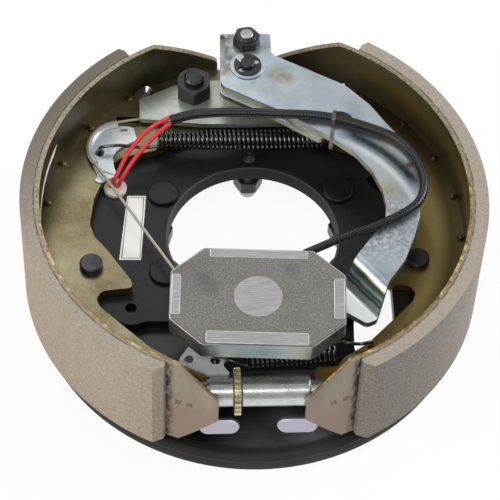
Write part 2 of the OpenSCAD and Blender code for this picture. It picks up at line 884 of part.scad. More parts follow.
cable_t1 = [guide_at[0] + guide_r * cos(102.3), guide_at[1] + guide_r * sin(102.3)];
cable_t2 = [guide_at[0] + guide_r * cos(209.6), guide_at[1] + guide_r * sin(209.6)];
cable_z = web_hi + 1.25;
cable_lift = 0.85;
cable_path = concat(
    [for (t = [0:2]) [-18.5 * (1 - t / 2.6) + cable_t1[0] * t / 2.6,
        106.2 * (1 - t / 2.6) + cable_t1[1] * t / 2.6, cable_z]],
    [for (i = [0:12]) let(a = 102.3 + 107.3 * i / 12)
        [guide_at[0] + guide_r * cos(a), guide_at[1] + guide_r * sin(a), cable_z + cable_lift]],
    [for (t = [1:4]) [cable_t2[0] + (-28 - cable_t2[0]) * t / 4,
        cable_t2[1] + (-83.2 - cable_t2[1]) * t / 4,
        cable_z + cable_lift + (3.4 - cable_lift) * t / 4]]);

module adjuster_cable() {
    color("#b5b0a0")
    wire(cable_path, cable_r, 8);
}

module cable_eye() {
    color("#a7adb0")
    translate([0, 0, web_hi + 0.1])
    linear_extrude(height = guide_z - web_hi - 0.2)
    difference() {
        union() {
            translate([0, post_y])
            circle(r = post_r + 4.5);
            translate([-18.4, 106.2])
            rotate(12.3)
            translate([0, -1.7])
            square([5, 3.4]);
        }
        translate([0, post_y])
        circle(r = post_r + 0.15);
        translate([0, post_y])
        polygon([[0, 3], [-22, 30], [22, 30]]);
    }
}

hook_route = [[-27.1, -84.8, cable_z + 3.6], [-25.6, -87.4, cable_z + 4.2],
    [-24.8, -90.4, cable_z + 3.6], [-24.8, -92.6, cable_z + 1.4], [-24.8, -92.6, cable_z - 3.4]];

module cable_hook() {
    color("#8f9496")
    difference() {
        union() {
            wire(route(hook_route, 4), 1.2, 8, [0, 0, 1]);
            translate([-27.6, -83.9, cable_z + 3.5])
            rotate([0, 0, -60.4])
            rotate([0, 87, 0])
            translate([0, 0, -6])
            cylinder(r = 2.2, h = 8);
        }
        translate([-28, -83.2, cable_z + 3.4])
        rotate([0, 0, -60.4])
        rotate([0, 88.2, 0])
        translate([0, 0, -9])
        cylinder(r = cable_r + 0.1, h = 9.1);
    }
}

lever_plan = [[-45, -94.5, 2], [-54.5, -109, 4], [-35.6, -117, 3], [-34.4, -118.2, 1],
    [-19.4, -118.2, 1], [-23.8, -112, 4], [-23.6, -108.4, 1.5], [-20.6, -105, 3],
    [-19.5, -92, 4], [-27, -86.6, 5]];

module adjuster_lever() {
    color("#aeb8bb")
    difference() {
        slab(lever_plan, web_hi + 0.3, web_hi + 2.8);
        disc(3.4, 50, 80, [-29, -107]);
        disc(1.6, 50, 80, [-24.8, -92.6]);
        disc(3, 50, 80, lever_at);
    }
}

module lever_pivot() {
    color("#aeb8bb")
    turned([[0, web_lo - 2.6, 0], [4, web_lo - 2.6, 0.4], [4, web_lo - 1.6, 0],
        [3.4, web_lo - 1.6, 0], [3.4, web_lo - 0.5, 0], [4.5, web_lo - 0.5, 0],
        [4.5, web_hi + 0.3, 0], [3, web_hi + 0.3, 0], [3, web_hi + 2.8, 0],
        [0, web_hi + 2.8, 0]], lever_at);
}

module lever_clip() {
    color("#2a2a2b")
    translate([lever_at[0], lever_at[1], web_lo - 1.5])
    linear_extrude(height = 0.9)
    difference() {
        circle(r = 7);
        circle(r = 3.5);
        translate([0, -2.8])
        square([9, 5.6]);
    }
}

upper_a = [-63, 72, 74];
upper_b = [50, 70, 74];

module upper_spring() {
    color("#161617")
    wire(concat(route([[-103, 66, web_lo + 1], [-103, 66, web_hi + 2], [-101, 66.3, web_hi + 5.6],
        [-90, 67.6, web_hi + 6.6], [-74, 68.6, 74], [-65.5, 67.4, 74]], 3),
        helix(upper_a, upper_b, coil_r, 36, 10),
        route([[52.5, 64.6, 74], [60, 68.6, 74], [80, 68.2, 73], [97, 67.2, web_hi + 4.4],
        [100, 67, web_hi + 1], [100, 67, web_lo + 1]], 3)), wire_r, 6, [0, 1, 0]);
}

lower_a = [-8.5, -107.8, 72];
lower_b = [49.5, -103.5, 72];

module lower_spring() {
    color("#161617")
    wire(concat(route([[-29, -107, web_lo + 3], [-29, -107, web_hi + 1.6],
        [-27.4, -107.4, web_hi + 5], [-19, -109.5, 72.3], [-11, -112.9, 72]], 3),
        helix(lower_a, lower_b, coil_r, 18.5, 10),
        route([[51.8, -97.2, 72], [54.6, -96.4, 72], [58.5, -97.7, 72], [66, -98.2, 71.4],
        [71.8, -98, web_hi + 4.2], [73.2, -97.7, web_hi + 1], [73.2, -97.7, web_lo + 1]], 3)),
        wire_r, 6, [0, 1, 0]);
}

// Solid of revolution about the adjuster's axis, points [x, radius, rounding].
module shaft(pts) {
    translate([0, adj_y, web_mid])
    rotate([0, 90, 0])
    rotate_extrude()
    polygon(rounded([for (p = pts) [p[1], p[0], p[2]]]));
}

module fork_slot(x0, x1) {
    translate([x0, adj_y - 20, web_lo - 0.2])
    cube([x1 - x0, 40, web_t + 0.4]);
}

module adjuster_socket() {
    color("#9aa09c")
    difference() {
        shaft([[-45, 0, 0], [-45, 6.9, 1.5], [-35, 6.9, 0], [-35, 8.5, 0], [sleeve_x, 8.5, 0.6],
            [sleeve_x, 9.65, 0], [star_x - 0.4, 9.65, 0.8], [star_x - 0.4, 0, 0]]);
        fork_slot(-46, -34.9);
        shaft([[-31, 0, 0], [-31, 5.1, 0], [star_x, 5.1, 0], [star_x, 0, 0]]);
    }
}

module star_wheel() {
    color("#a5aaa6")
    difference() {
        shaft([[-30.4, 0, 0], [-30.4, 5, 0.6], [star_x, 5, 0], [star_x, star_r, 0.5],
            [star_x + star_w, star_r, 0.5], [star_x + star_w, 5.6, 0], [20, 5.6, 0.8],
            [20, 0, 0]]);
        for (i = [0:star_teeth - 1])
            translate([star_x - 1, adj_y, web_mid])
            rotate([i * 360 / star_teeth, 0, 0])
            rotate([90, 0, 90])
            linear_extrude(height = star_w + 2)
            polygon([[star_r - 3, -0.5], [star_r + 1, -1.5], [star_r + 1, 1.5],
                [star_r - 3, 0.5]]);
    }
}

module adjuster_tube() {
    color("#9aa09c")
    difference() {
        shaft([[-12.6, 0, 0], [-12.6, tube_r, 1], [31.6, tube_r, 1.2], [31.6, 7, 0],
            [45, 7, 1.5], [45, 0, 0]]);
        fork_slot(34.9, 46);
        shaft([[-13, 0, 0], [-13, 5.9, 0], [26, 5.9, 0], [26, 0, 0]]);
    }
}

backing_plate();
spider();
spider_rivets();
mounting_studs();
mounting_nuts();
anchor_studs();
anchor_nuts();
guide_plate();
anchor_post();
post_spacer();
pivot_washer();
pivot_clip();
toggle_bolt();
toggle_nut();
toggle_sleeve();
magnet_arm();
arm_doubler();
lead_clip();
magnet_housing();
pole_frame();
magnet_core();
magnet_face();
magnet_coil();
magnet_stud();
magnet_spring();
magnet_clip();
lead_sleeve();
lead_wires();
lead_tail_a();
lead_tail_b();
wire_grommet();
left_shoe_table();
left_web();
left_lining();
right_shoe_table();
right_web();
right_lining();
left_hold_pin();
left_hold_spring();
left_hold_cup();
right_hold_pin();
right_hold_spring();
right_hold_cup();
cable_guide();
adjuster_cable();
cable_eye();
cable_hook();
adjuster_lever();
lever_pivot();
lever_clip();
upper_spring();
lower_spring();
adjuster_socket();
star_wheel();
adjuster_tube();
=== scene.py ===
"""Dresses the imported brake: finishes for every piece, smooth springs, leads and cable, and the stage."""

import math

import bpy
import numpy as np
from mathutils import Matrix, Vector


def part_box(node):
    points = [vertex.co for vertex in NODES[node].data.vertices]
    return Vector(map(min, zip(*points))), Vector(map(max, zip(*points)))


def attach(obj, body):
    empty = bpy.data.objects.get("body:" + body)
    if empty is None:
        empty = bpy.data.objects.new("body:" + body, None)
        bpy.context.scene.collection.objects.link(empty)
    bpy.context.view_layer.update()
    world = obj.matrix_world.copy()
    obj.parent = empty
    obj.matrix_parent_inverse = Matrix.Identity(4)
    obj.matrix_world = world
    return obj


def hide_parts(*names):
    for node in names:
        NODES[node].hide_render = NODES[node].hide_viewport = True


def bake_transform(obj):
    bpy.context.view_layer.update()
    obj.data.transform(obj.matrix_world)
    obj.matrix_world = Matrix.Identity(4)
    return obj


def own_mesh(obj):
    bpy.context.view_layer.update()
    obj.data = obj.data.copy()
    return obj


bl_info = {
    "name": "Electric Brake Dresser",
    "version": (1, 0, 0),
    "blender": (4, 5, 0),
    "location": "View3D > Sidebar > Brake",
    "description": "Finishes, springs, leads and stage for an electric drum brake",
    "category": "Object",
}

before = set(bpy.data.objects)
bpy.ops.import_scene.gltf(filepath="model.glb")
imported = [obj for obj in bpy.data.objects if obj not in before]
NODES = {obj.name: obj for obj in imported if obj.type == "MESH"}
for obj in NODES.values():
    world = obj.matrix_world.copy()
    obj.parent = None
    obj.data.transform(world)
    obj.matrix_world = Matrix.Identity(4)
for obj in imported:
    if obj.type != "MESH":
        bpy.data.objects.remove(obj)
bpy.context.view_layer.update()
MM = 0.001

# Levels and places that come from the frame, in metres
SHOE_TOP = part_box("right_shoe_table")[1].z
RIM_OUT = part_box("right_shoe_table")[1].x
RIM_IN = RIM_OUT - 3.4 * MM
WEB_LOW, WEB_TOP = (corner.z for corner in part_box("right_web"))
WEB_MID = (WEB_TOP + WEB_LOW) / 2
SPIDER_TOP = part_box("spider")[1].z
ARM_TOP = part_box("magnet_arm")[1].z
FACE_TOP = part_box("magnet_face")[1].z
POLE_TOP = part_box("pole_frame")[1].z
PLATE_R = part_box("backing_plate")[1].x

# Places that the source gives: joint of rim and lining, arc of the arm's bead
JOINT_X = 60.5 * MM
BEAD_CENTRE = (16.5 * MM, -36.2 * MM)
BEAD_RADIUS = 103.8 * MM

# Camera fitted to the photograph, whose frame is 500 by 500 pixels
PHOTO_PX = 500
FOCAL_PX = 2391.0
SENSOR = 36
EYE = Vector((-78.35, -958.69, 1360.67)) * MM
AZIMUTH, ELEVATION, ROLL = (math.radians(angle) for angle in (4.59, 53.89, 2.75))
FLOOR_HALF = 3.0

# Routes of the leads, in millimetres, the same points as the solids'
SLEEVE_ROUTE = (
    (-53.7, 74.5, 92), (-45, 75.2, 95), (-34, 75.4, 97.5), (-10, 73.8, 100.6), (20, 69.8, 103.2),
    (40, 68.2, 103.6), (57, 64.9, 103.6), (77, 57.6, 103.6), (97, 46.9, 103.6), (107.4, 33.7, 103.6),
    (112.2, 19.2, 103.6), (113, 5.6, 103.6), (108, -7.6, 103.6), (95.2, -18.1, 103.6),
    (74.6, -28.4, 103.6), (57.8, -34.4, 102.8), (44.5, -39.5, 100.8), (31, -45.3, 99.6),
)
LEAD_A = (
    (-53, 75.7, 93.5), (-54.6, 75.6, 93.2), (-58, 75, 91.8), (-68, 72.6, 87.4), (-77, 64, 83),
    (-85, 56, 77.4), (-89.8, 46.8, 71.4), (-94.2, 41.9, 65.6), (-95, 42, 60.6), (-95, 42, 46),
)
LEAD_B = (
    (-52, 73.4, 90.9), (-53.5, 73, 90.4), (-58, 71.2, 89), (-65, 66, 85.6), (-73, 59, 81),
    (-81, 52, 75), (-86.6, 45.2, 69), (-89.8, 42.2, 64), (-90.4, 42, 60.4), (-90.4, 42, 46),
)
TAIL_A = (
    (-95, 42, 46), (-95, 42, 30), (-97, 40, 12), (-101, 28, 2.4), (-103, 8, 1.6), (-101, -14, 1.6),
    (-95, -36, 1.6), (-84, -56, 1.6),
)
TAIL_B = (
    (-90.4, 42, 46), (-90.4, 42, 30), (-89, 40, 12), (-93, 27, 2.4), (-96, 8, 1.6), (-94, -13, 1.6),
    (-87, -34, 1.6), (-76, -52, 1.6),
)
SEALANT_ROUTE = (
    (57.5, 68.4, 103.6), (60, 67.6, 103.7), (63, 66.4, 103.7), (66, 65, 103.7), (68.5, 63.6, 103.6),
)

# Cable, in millimetres: from the eye at the anchor post, round the guide's groove, down to the hook
GUIDE_AT = (-88.0, 68.0)
GUIDE_R = 22.5
GUIDE_ARC = (102.3, 209.6)
ARC_POINTS = 37
CABLE_Z = WEB_TOP / MM + 1.25
CABLE_LIFT = 0.85
CABLE_EYE = np.array([-18.5, 106.2, CABLE_Z])
CABLE_HOOK = np.array([-28.0, -83.2, CABLE_Z + 3.4])

# Return springs, in millimetres: start and end of the coil, and its number of turns
RETURN_SPRINGS = {
    "upper": ((-63, 72, 74), (50, 70, 74), 36),
    "lower": ((-8.5, -107.8, 72), (49.5, -103.5, 72), 18.5),
}
# Their hooked ends, from the hole in the web to the first turn and from the last turn to the hole, with
# the levels of the web's two faces
WEB_FROM, WEB_TO = WEB_LOW / MM, WEB_TOP / MM
SPRING_HOOKS = {
    "upper": (
        ((-103, 66, WEB_FROM + 1), (-103, 66, WEB_TO + 2), (-101, 66.3, WEB_TO + 5.2),
         (-90, 67, WEB_TO + 5.9), (-76, 66.3, 73), (-68, 65.9, 73.6), (-63, 66.15, 74)),
        ((50, 64.15, 74), (60, 68.6, 74), (80, 68.2, 73), (97, 67.2, WEB_TO + 4.4), (100, 67, WEB_TO + 1),
         (100, 67, WEB_FROM + 1)),
    ),
    "lower": (
        ((-29, -107, WEB_FROM + 3), (-29, -107, WEB_TO + 1.6), (-27.4, -107.4, WEB_TO + 5),
         (-19, -109.5, 72.3), (-11, -112.9, 72), (-8.5, -113.65, 72)),
        ((49.5, -97.65, 72), (51.8, -97.2, 72), (54.6, -96.4, 72), (58.5, -97.7, 72), (66, -98.2, 71.4),
         (71.8, -98, WEB_TO + 4.2), (73.2, -97.7, WEB_TO + 1), (73.2, -97.7, WEB_FROM + 1)),
    ),
}
COIL_STEPS = 24
WIRE_SIDES = 10

# Blank label on the spider: corners, thickness, and the double border's shares of its half width and length
LABEL_CORNERS = np.array([(-84.4, 35.5), (-71.6, 35.3), (-75.9, -18.6), (-90.5, -18.3)]) * MM
LABEL_THICK = 0.18 * MM
BORDER_OUTER, BORDER_INNER = np.array([0.86, 0.955]), np.array([0.80, 0.94])
BORDER_THICK = 0.05 * MM

# Magnet's plan: its centre and turn, and the low and high corners of the four pole faces, in millimetres
MAGNET_AT = np.array([-1.5, -84.5])
MAGNET_TURN = math.radians(-3.3)
POLE_BARS = (
    ((-32.5, -36.5), (32.5, -27.8)), ((-31.6, 30.4), (31.6, 36.5)),
    ((-55.3, -15.5), (-50, 15.5)), ((48.8, -15.5), (55.3, 15.5)),
)
POLE_CORNER = 1.3
# Painted highlight round the pole faces: radius and sides of its thin bright beads
POLE_GLINT = 0.26 * MM
POLE_GLINT_SIDES = 8


def linear(code, alpha=1.0):
    """sRGB hex to the linear colour that shaders and lamps take."""
    parts = np.array([int(code[i : i + 2], 16) for i in (1, 3, 5)]) / 255
    light = np.where(parts <= 0.04045, parts / 12.92, ((parts + 0.055) / 1.055) ** 2.4)
    return (*light.tolist(), alpha)


class BrakeColours(bpy.types.PropertyGroup):
    """Colours of the main finishes."""

    def tone(label, about, code):
        return bpy.props.FloatVectorProperty(
            name=label, description=about, subtype="COLOR", size=4, min=0, max=1, default=linear(code)
        )

    shoe: tone("Shoe", "Olive lacquer on the shoes' steel", "#8f8973")
    shoe_dark: tone("Shoe shade", "Darker patches of the lacquer", "#696044")
    lining: tone("Lining", "Friction lining", "#a09584")
    plate: tone("Plate", "Semi-gloss black paint", "#131416")
    spider: tone("Spider", "Satin black paint", "#131415")
    compound: tone("Magnet face", "Moulded magnet compound", "#75736e")
    lead: tone("Lead", "Insulation of the two leads", "#e02a36")
    cable: tone("Cable", "Coat of the adjuster cable", "#b9b4a2")


class BrakeSizes(bpy.types.PropertyGroup):
    """Sizes of the pieces that are made here."""

    def length(label, about, value):
        return bpy.props.FloatProperty(
            name=label, description=about, subtype="DISTANCE", unit="LENGTH", default=value
        )

    spring_wire: length("Spring wire", "Radius of the return springs' wire", 1.15 * MM)
    spring_coil: length("Spring coil", "Mean radius of the return springs' turns", 5.85 * MM)
    sleeve: length("Sleeve", "Radius of the braided sleeve", 3.4 * MM)
    lead: length("Lead", "Radius of one lead", 1.5 * MM)
    cable: length("Cable", "Radius of the adjuster cable", 1.0 * MM)


class Field:
    """A number, colour or place that varies over the surface. Sums on it become nodes of its tree."""

    def __init__(self, socket):
        self.socket = socket
        self.tree = socket.id_data

    def node(self, kind, inputs, out=0, **settings):
        """The field that one more node of the tree gives at out."""
        return Field(add(self.tree, kind, inputs, **settings).outputs[out])

    def sum(self, operation, *values):
        """The field that one sum on numbers or fields gives."""
        return self.node("ShaderNodeMath", dict(enumerate(values)), operation=operation)

    def __add__(self, other):
        return self.sum("ADD", self, other)

    def __mul__(self, other):
        return self.sum("MULTIPLY", self, other)

    def __sub__(self, other):
        return self.sum("SUBTRACT", self, other)

    def __rsub__(self, other):
        return self.sum("SUBTRACT", other, self)

    def __abs__(self):
        return self.sum("ABSOLUTE", self)

    def __or__(self, other):
        """The larger of the two."""
        return self.sum("MAXIMUM", self, other)

    def rise(self, low, high):
        """0 below low, 1 above high."""
        return self.node("ShaderNodeMapRange", {"Value": self, "From Min": low, "From Max": high})

    def fall(self, low, high):
        """1 below low, 0 above high."""
        return 1.0 - self.rise(low, high)

    def tones(self, *stops):
        """The colours of the stops, read at this value."""
        return self.node("ShaderNodeValToRGB", {"Fac": self}, stops=stops)


def feed(node, inputs):
    """Sets a node's inputs to numbers and hex tones, and links fields to them."""
    for name, value in inputs.items():
        if isinstance(value, Field):
            node.id_data.links.new(value.socket, node.inputs[name])
        else:
            node.inputs[name].default_value = linear(value) if isinstance(value, str) else value


def add(tree, kind, inputs=None, stops=(), **settings):
    """Adds one node: settings are its properties, inputs are fed to it, stops are its colours."""
    made = tree.nodes.new(kind)
    for name, value in settings.items():
        setattr(made, name, value)
    feed(made, inputs or {})
    for i, (place, tone) in enumerate(stops):
        ramp = made.color_ramp.elements
        element = ramp[i] if i < len(ramp) else ramp.new(place)
        element.position = place
        element.color = linear(tone)
    return made


def begin(name):
    """A new material, and the object's own coordinates in metres."""
    material = bpy.data.materials.new(name)
    material.use_nodes = True
    return material, Field(add(material.node_tree, "ShaderNodeTexCoord").outputs["Object"])


def close(material, base, rough, metal=0.0, relief=None, gloss=0.5, **more):
    """Gives the material's shader its looks, and a relief where there is one: a height and its metres."""
    shader = material.node_tree.nodes["Principled BSDF"]
    looks = {"Base Color": base, "Roughness": rough, "Metallic": metal, "Specular IOR Level": gloss}
    feed(shader, {**looks, **more})
    if relief:
        bump = {"Height": relief[0], "Distance": relief[1], "Strength": 1.0}
        feed(shader, {"Normal": relief[0].node("ShaderNodeBump", bump)})
    return material


def blend(share, under, over):
    """Lays the colour over on the colour under, by share."""
    field = next(item for item in (share, under, over) if isinstance(item, Field))
    return field.node("ShaderNodeMix", {"Factor": share, 6: under, 7: over}, 2, data_type="RGBA")


def layered(base, *layers):
    """Lays tones over the base in turn. Each layer is a field, or 1 for all over, its share and its tone."""
    for field, share, tone in layers:
        base = blend(field if share == 1 else field * share, base, tone)
    return base


def grain(place, size, detail=4.0, rough=0.55, stretch=(1, 1, 1)):
    """Noise whose features are about size metres wide, stretched along the axes."""
    moved = place.node("ShaderNodeMapping", {"Vector": place, "Scale": stretch})
    noise = {"Vector": moved, "Scale": 0.5 / size, "Detail": detail, "Roughness": rough}
    return place.node("ShaderNodeTexNoise", noise, "Fac")


def spot(place, at, radius, soft=0.5):
    """1 inside a ball round the point at, falling to 0 at its edge."""
    gap = place.node("ShaderNodeVectorMath", {0: place, 1: at}, "Value", operation="DISTANCE")
    fade = {"Value": gap, "From Min": radius * (1 - soft), "From Max": radius, "To Min": 1.0, "To Max": 0.0}
    return gap.node("ShaderNodeMapRange", fade)


def axes(place):
    """The three numbers of a place or a direction."""
    return [Field(out) for out in add(place.tree, "ShaderNodeSeparateXYZ", {0: place}).outputs]


def from_hub(place):
    """Distance from the hub axis."""
    x, y, _ = axes(place)
    flat = x.node("ShaderNodeCombineXYZ", {0: x, 1: y})
    return x.node("ShaderNodeVectorMath", {0: flat}, "Value", operation="LENGTH")


def upward(place):
    """How far the surface looks up: 1 where it lies level, 0 where it stands upright."""
    return axes(place.node("ShaderNodeTexCoord", {}, "Normal"))[2]


def strands(place, slant, scale, sway=0.0):
    """Waves that run at a slant in degrees on the tube's own UV map, which is in metres."""
    chart = place.node("ShaderNodeUVMap", {}, uv_map="along")
    turned = place.node("ShaderNodeMapping", {"Vector": chart, "Rotation": (0, 0, math.radians(slant))})
    return place.node("ShaderNodeTexWave", {"Vector": turned, "Scale": scale, "Distortion": sway}, "Fac")


def baked_black(name, tone, sheen, dust, gloss):
    """Baked black paint over pressed sheet: nearly black, faintly uneven, a few fine scratches, dusty on
    faces that look up, worn and with a painted sheen near the adjusting slots, with painted highlights
    round the top edge of the hub hole and on the outer lip, near-black painted shade on the hub hole's
    wall, and painted shade, dull, in the groove by the rim."""
    material, place = begin(name)
    cloud = grain(place, 24 * MM)
    speck = grain(place, 0.9 * MM, 2.0)
    scratch = grain(place, 1.0 * MM, 2.0, 0.5, (0.06, 1.0, 1.0))
    rub_and_sheen = grain(place, 2.5 * MM, 4.0, 0.65, (0.25, 1.0, 1.0))
    away, up = from_hub(place), upward(place)
    base = layered(
        tone,
        (up.rise(0.6, 1.0) * cloud.rise(0.4, 0.7), dust, "#46474b"),
        (speck.rise(0.68, 0.74), 0.6, "#47474a"),
        (scratch.rise(0.7, 0.76), 0.35, "#5b5c60"),
    )
    # Painted sheen near the adjusting slots, laid with worn rubs: paler patches broken up by the rub noise
    for at, radius, share, low in (
        ((0.012, -0.143, 0.011), 0.022, 0.4, 0.42), ((0.036, -0.132, 0.011), 0.024, 0.9, 0.0),
        ((-0.020, -0.147, 0.011), 0.020, 0.3, 0.42), ((0.018, -0.114, 0.011), 0.016, 0.5, 0.0),
        ((0.000, -0.134, 0.011), 0.034, 0.4, 0.0),
    ):
        base = layered(base, (spot(place, at, radius, 1.0) * rub_and_sheen.rise(low, low + 0.3), share, "#74757d"))
    # Painted shade, dull, in the groove by the rim and near-black painted shade on the hub hole's wall;
    # painted highlights on the outer lip and round the top edge of the hub hole
    groove = away.rise(PLATE_R - 0.012, PLATE_R - 0.009)
    lip_highlight = away.rise(PLATE_R - 0.0016, PLATE_R - 0.0010) * up.rise(0.3, 0.8)
    bore = away.fall(0.0578, 0.0581)
    bore_highlight = away.fall(0.0585, 0.0590) * up.rise(0.5, 0.9)
    base = layered(
        base,
        (groove, 0.75, "#1b1a17"),
        (lip_highlight, 0.55, "#5e5d59"),
        (bore, 1, "#060606"),
        (bore_highlight, 0.6, "#606164"),
    )
    rough = cloud * 0.18 + sheen | (bore | groove) * 0.6
    return close(material, base, rough, relief=(grain(place, 0.9 * MM, 3.0), 0.02 * MM), gloss=gloss)


def zinc_plate(name, light="#b2bec6", dark="#95a2aa", pale="#c6cccd", metal=0.88, marks=None):
    """Clear zinc plate on rolled steel: bluish metal, softly cloudy, with straw-coloured patches and fine
    handling marks. The function marks lays a piece's own marks over that."""
    material, place = begin(name)
    cloud = grain(place, 13 * MM, 4.0, 0.5)
    mottle = grain(place, 2.2 * MM, 3.0)
    straw = grain(place, 21 * MM, 3.0, 0.5)
    base = layered(
        cloud.tones((0.3, dark), (0.52, light), (0.74, pale)),
        (straw.rise(0.52, 0.68), 0.42, "#b9b59c"),
        (mottle.rise(0.5, 0.72), 0.22, "#78858c"),
    )
    if marks:
        base = marks(place, base)
    return close(material, base, mottle * 0.24 + 0.24, metal, (mottle, 0.03 * MM))


def stained(place, base, blot, stains):
    """Lays blotchy stains on the colour base: each has its middle, radius, tone and share."""
    for at, radius, tone, share in stains:
        base = blend(spot(place, at, radius, 0.8) * share * blot.rise(0.36, 0.56), base, tone)
    return base


def arm_marks(place, base):
    """Oil and rust stains on the arm, painted shade along the stiffening bead with a painted highlight on its
    flank, and painted crease highlights with light and dark painted reflection bands, tinted teal and
    khaki, down the bend to the magnet."""
    blot = grain(place, 3.2 * MM, 5.0, 0.65)
    base = stained(place, base, blot, (
        ((-0.0166, 0.1429, ARM_TOP), 0.010, "#4d4436", 1.0),
        ((-0.0150, 0.1320, ARM_TOP), 0.008, "#5b5140", 0.95),
        ((-0.0110, 0.1205, ARM_TOP), 0.012, "#62594a", 0.9),
        ((-0.0160, 0.1120, ARM_TOP), 0.009, "#7a705c", 0.7),
        ((0.0200, 0.1070, ARM_TOP), 0.012, "#8d8468", 0.7),
        ((0.0270, 0.1040, ARM_TOP), 0.008, "#8d8468", 0.6),
        ((0.1050, 0.0263, ARM_TOP), 0.0055, "#7d5644", 1.0),
        ((0.0900, 0.0060, ARM_TOP), 0.010, "#a89f84", 0.8),
        ((0.0130, 0.1330, ARM_TOP), 0.010, "#6f7478", 0.6),
        ((0.0560, 0.0900, ARM_TOP), 0.020, "#b3bccb", 0.7),
    ))
    x, y, z = axes(place)
    drop = ARM_TOP - 0.0002 - z
    down = grain(place, 6 * MM, 3.0) * 0.003 + drop
    # Painted crease highlights and light and dark painted reflection bands down the bend, tinted teal and
    # khaki
    bend_reflections = down.rise(0.001, 0.023).tones(
        (0.0, "#fbfdfc"), (0.11, "#f6f8f6"), (0.14, "#c9cdb8"), (0.19, "#28332f"), (0.27, "#4f6b65"),
        (0.34, "#b9d3cd"), (0.40, "#2b3b37"), (0.46, "#8fb0a8"), (0.51, "#1b2825"), (0.57, "#e6efef"),
        (0.8, "#f4f7f6"), (1.0, "#dedcb8"),
    )
    spangle = grain(place, 1.2 * MM, 4.0, 0.7).tones((0.38, "#464e56"), (0.5, "#98a1a8"), (0.64, "#e2e6e8"))
    bead_shade = grain(place, 1.4 * MM, 3.0, 0.6).tones((0.35, "#131c24"), (0.65, "#313d47"))
    # Distance across the bead's arc, roughened by the blots, and the stretch where the bead is drawn
    to_centre = place.node("ShaderNodeVectorMath", {0: place, 1: (*BEAD_CENTRE, ARM_TOP)}, "Value",
                           operation="DISTANCE")
    across = to_centre - BEAD_RADIUS + blot * 0.0012
    along = x.rise(0.057, 0.070) * drop.rise(0.0004, 0.0)
    return layered(
        base,
        (spot(place, (0.084, -0.026, ARM_TOP), 0.036, 0.9), 0.7, spangle),
        (drop.rise(0.0002, 0.0008) * y.fall(-0.03, -0.01), 0.88, bend_reflections),
        (upward(place).fall(0.2, 0.5), 0.8, "#a5a089"),
        # Painted shade along the bead, and a painted highlight on its flank
        (abs(across).fall(0.0012, 0.0066) * along * y.rise(0.002, 0.016), 0.95, bead_shade),
        (abs(across + 0.0078).fall(0.0006, 0.0034) * along, 0.55, "#eef3f5"),
    )


def housing_marks(place, base):
    """Khaki, brown and teal smears by the corners of the magnet's pan."""
    return stained(place, base, grain(place, 3.0 * MM, 5.0, 0.65), (
        ((-0.050, -0.108, 0.101), 0.009, "#c9c3a4", 1.0),
        ((-0.040, -0.119, 0.099), 0.007, "#6a6450", 1.0),
        ((0.046, -0.110, 0.102), 0.010, "#7b6c4e", 0.9),
        ((0.000, -0.124, 0.098), 0.016, "#6f8c86", 0.6),
        ((0.024, -0.122, 0.099), 0.012, "#a9a488", 0.7),
        ((-0.022, -0.123, 0.097), 0.010, "#a9a488", 0.6),
    ))


def lacquered_steel(name, tone, shade):
    """Thin olive lacquer on hot-rolled steel: metallic sheen, fine speckle, golden-brown where it ran thick
    at the cut edges, tan outside the rim where the lining was bonded. Painted shade darkens the rim's
    inner wall and a band of the right web by the rim; painted light lies on the rest of the right web, on
    a belt of the rim's right wall and at the tips of both webs."""
    material, place = begin(name)
    cloud = grain(place, 20 * MM, 4.0, 0.55)
    streak = grain(place, 7 * MM, 4.0, 0.6, (1, 1, 0.25))
    speck = grain(place, 0.9 * MM, 3.0, 0.7)
    stain = grain(place, 10 * MM, 4.0, 0.6)
    x, y, z = axes(place)
    away, up = from_hub(place), upward(place)
    right = x.rise(0.03, 0.09)
    outside = away.rise(RIM_OUT - 0.0009, RIM_OUT - 0.0004)
    rim = away.rise(RIM_IN + 0.0002, RIM_IN + 0.0004) * (1.0 - outside)
    wall = away.rise(RIM_IN - 0.0004, RIM_IN - 0.0002) * (1.0 - abs(up)).rise(0.4, 0.8)
    wall_shade = x.rise(0.0, 0.1) * 0.2 + 0.75 - y.rise(0.03, 0.12) * 0.6
    glow = wall * right * abs(z - (SHOE_TOP - 0.016)).fall(0.002, 0.013)
    flat = right * (1.0 - wall)
    weld = z.rise(WEB_TOP + 0.0002, WEB_TOP + 0.0006) * away.rise(RIM_IN - 0.012, RIM_IN - 0.010)
    base = layered(
        blend(cloud.rise(0.36, 0.66), shade, tone),
        (stain.rise(0.56, 0.68), 0.55, "#75602c"),
        (speck.rise(0.5, 0.7), 0.3, "#a89c74"),
        # Painted light at the tips of both webs: gold-brown patches that lighten them where they lie in shade
        (spot(place, (-0.040, -0.115, WEB_MID), 0.016, 0.6), 0.8, "#b58a41"),
        (spot(place, (0.040, -0.115, WEB_MID), 0.016, 0.6), 0.8, "#b58a41"),
        # Painted shade on the rim's inner wall, a painted sheen belt on its right half, the right web more
        # golden and painted lighter, and painted shade in its band by the rim
        (wall * wall_shade, 1, "#2b2513"),
        (glow, 0.8, "#675930"),
        (flat, 0.6, "#9a8444"),
        (flat * away.rise(RIM_IN - 0.018, RIM_IN - 0.008), 0.75, "#211c10"),
        (weld * away.fall(RIM_IN - 0.0012, RIM_IN - 0.0006), 0.8, "#a8a28c"),
        # Outside and cut edge of the rim, cut edges inside
        (outside, 1, bonded_tan(place, streak)),
        (rim, 1, cut_edge(place, speck)),
        (up.fall(0.2, 0.5) * away.fall(RIM_IN - 0.003, RIM_IN - 0.001), 0.6, "#7d6a32"),
    )
    metal = (1.0 - (outside | rim)) * 0.82 * (wall * right * -0.6 + 1.0) + 0.05
    return close(material, base, streak * 0.2 + 0.26, metal, (speck, 0.03 * MM))


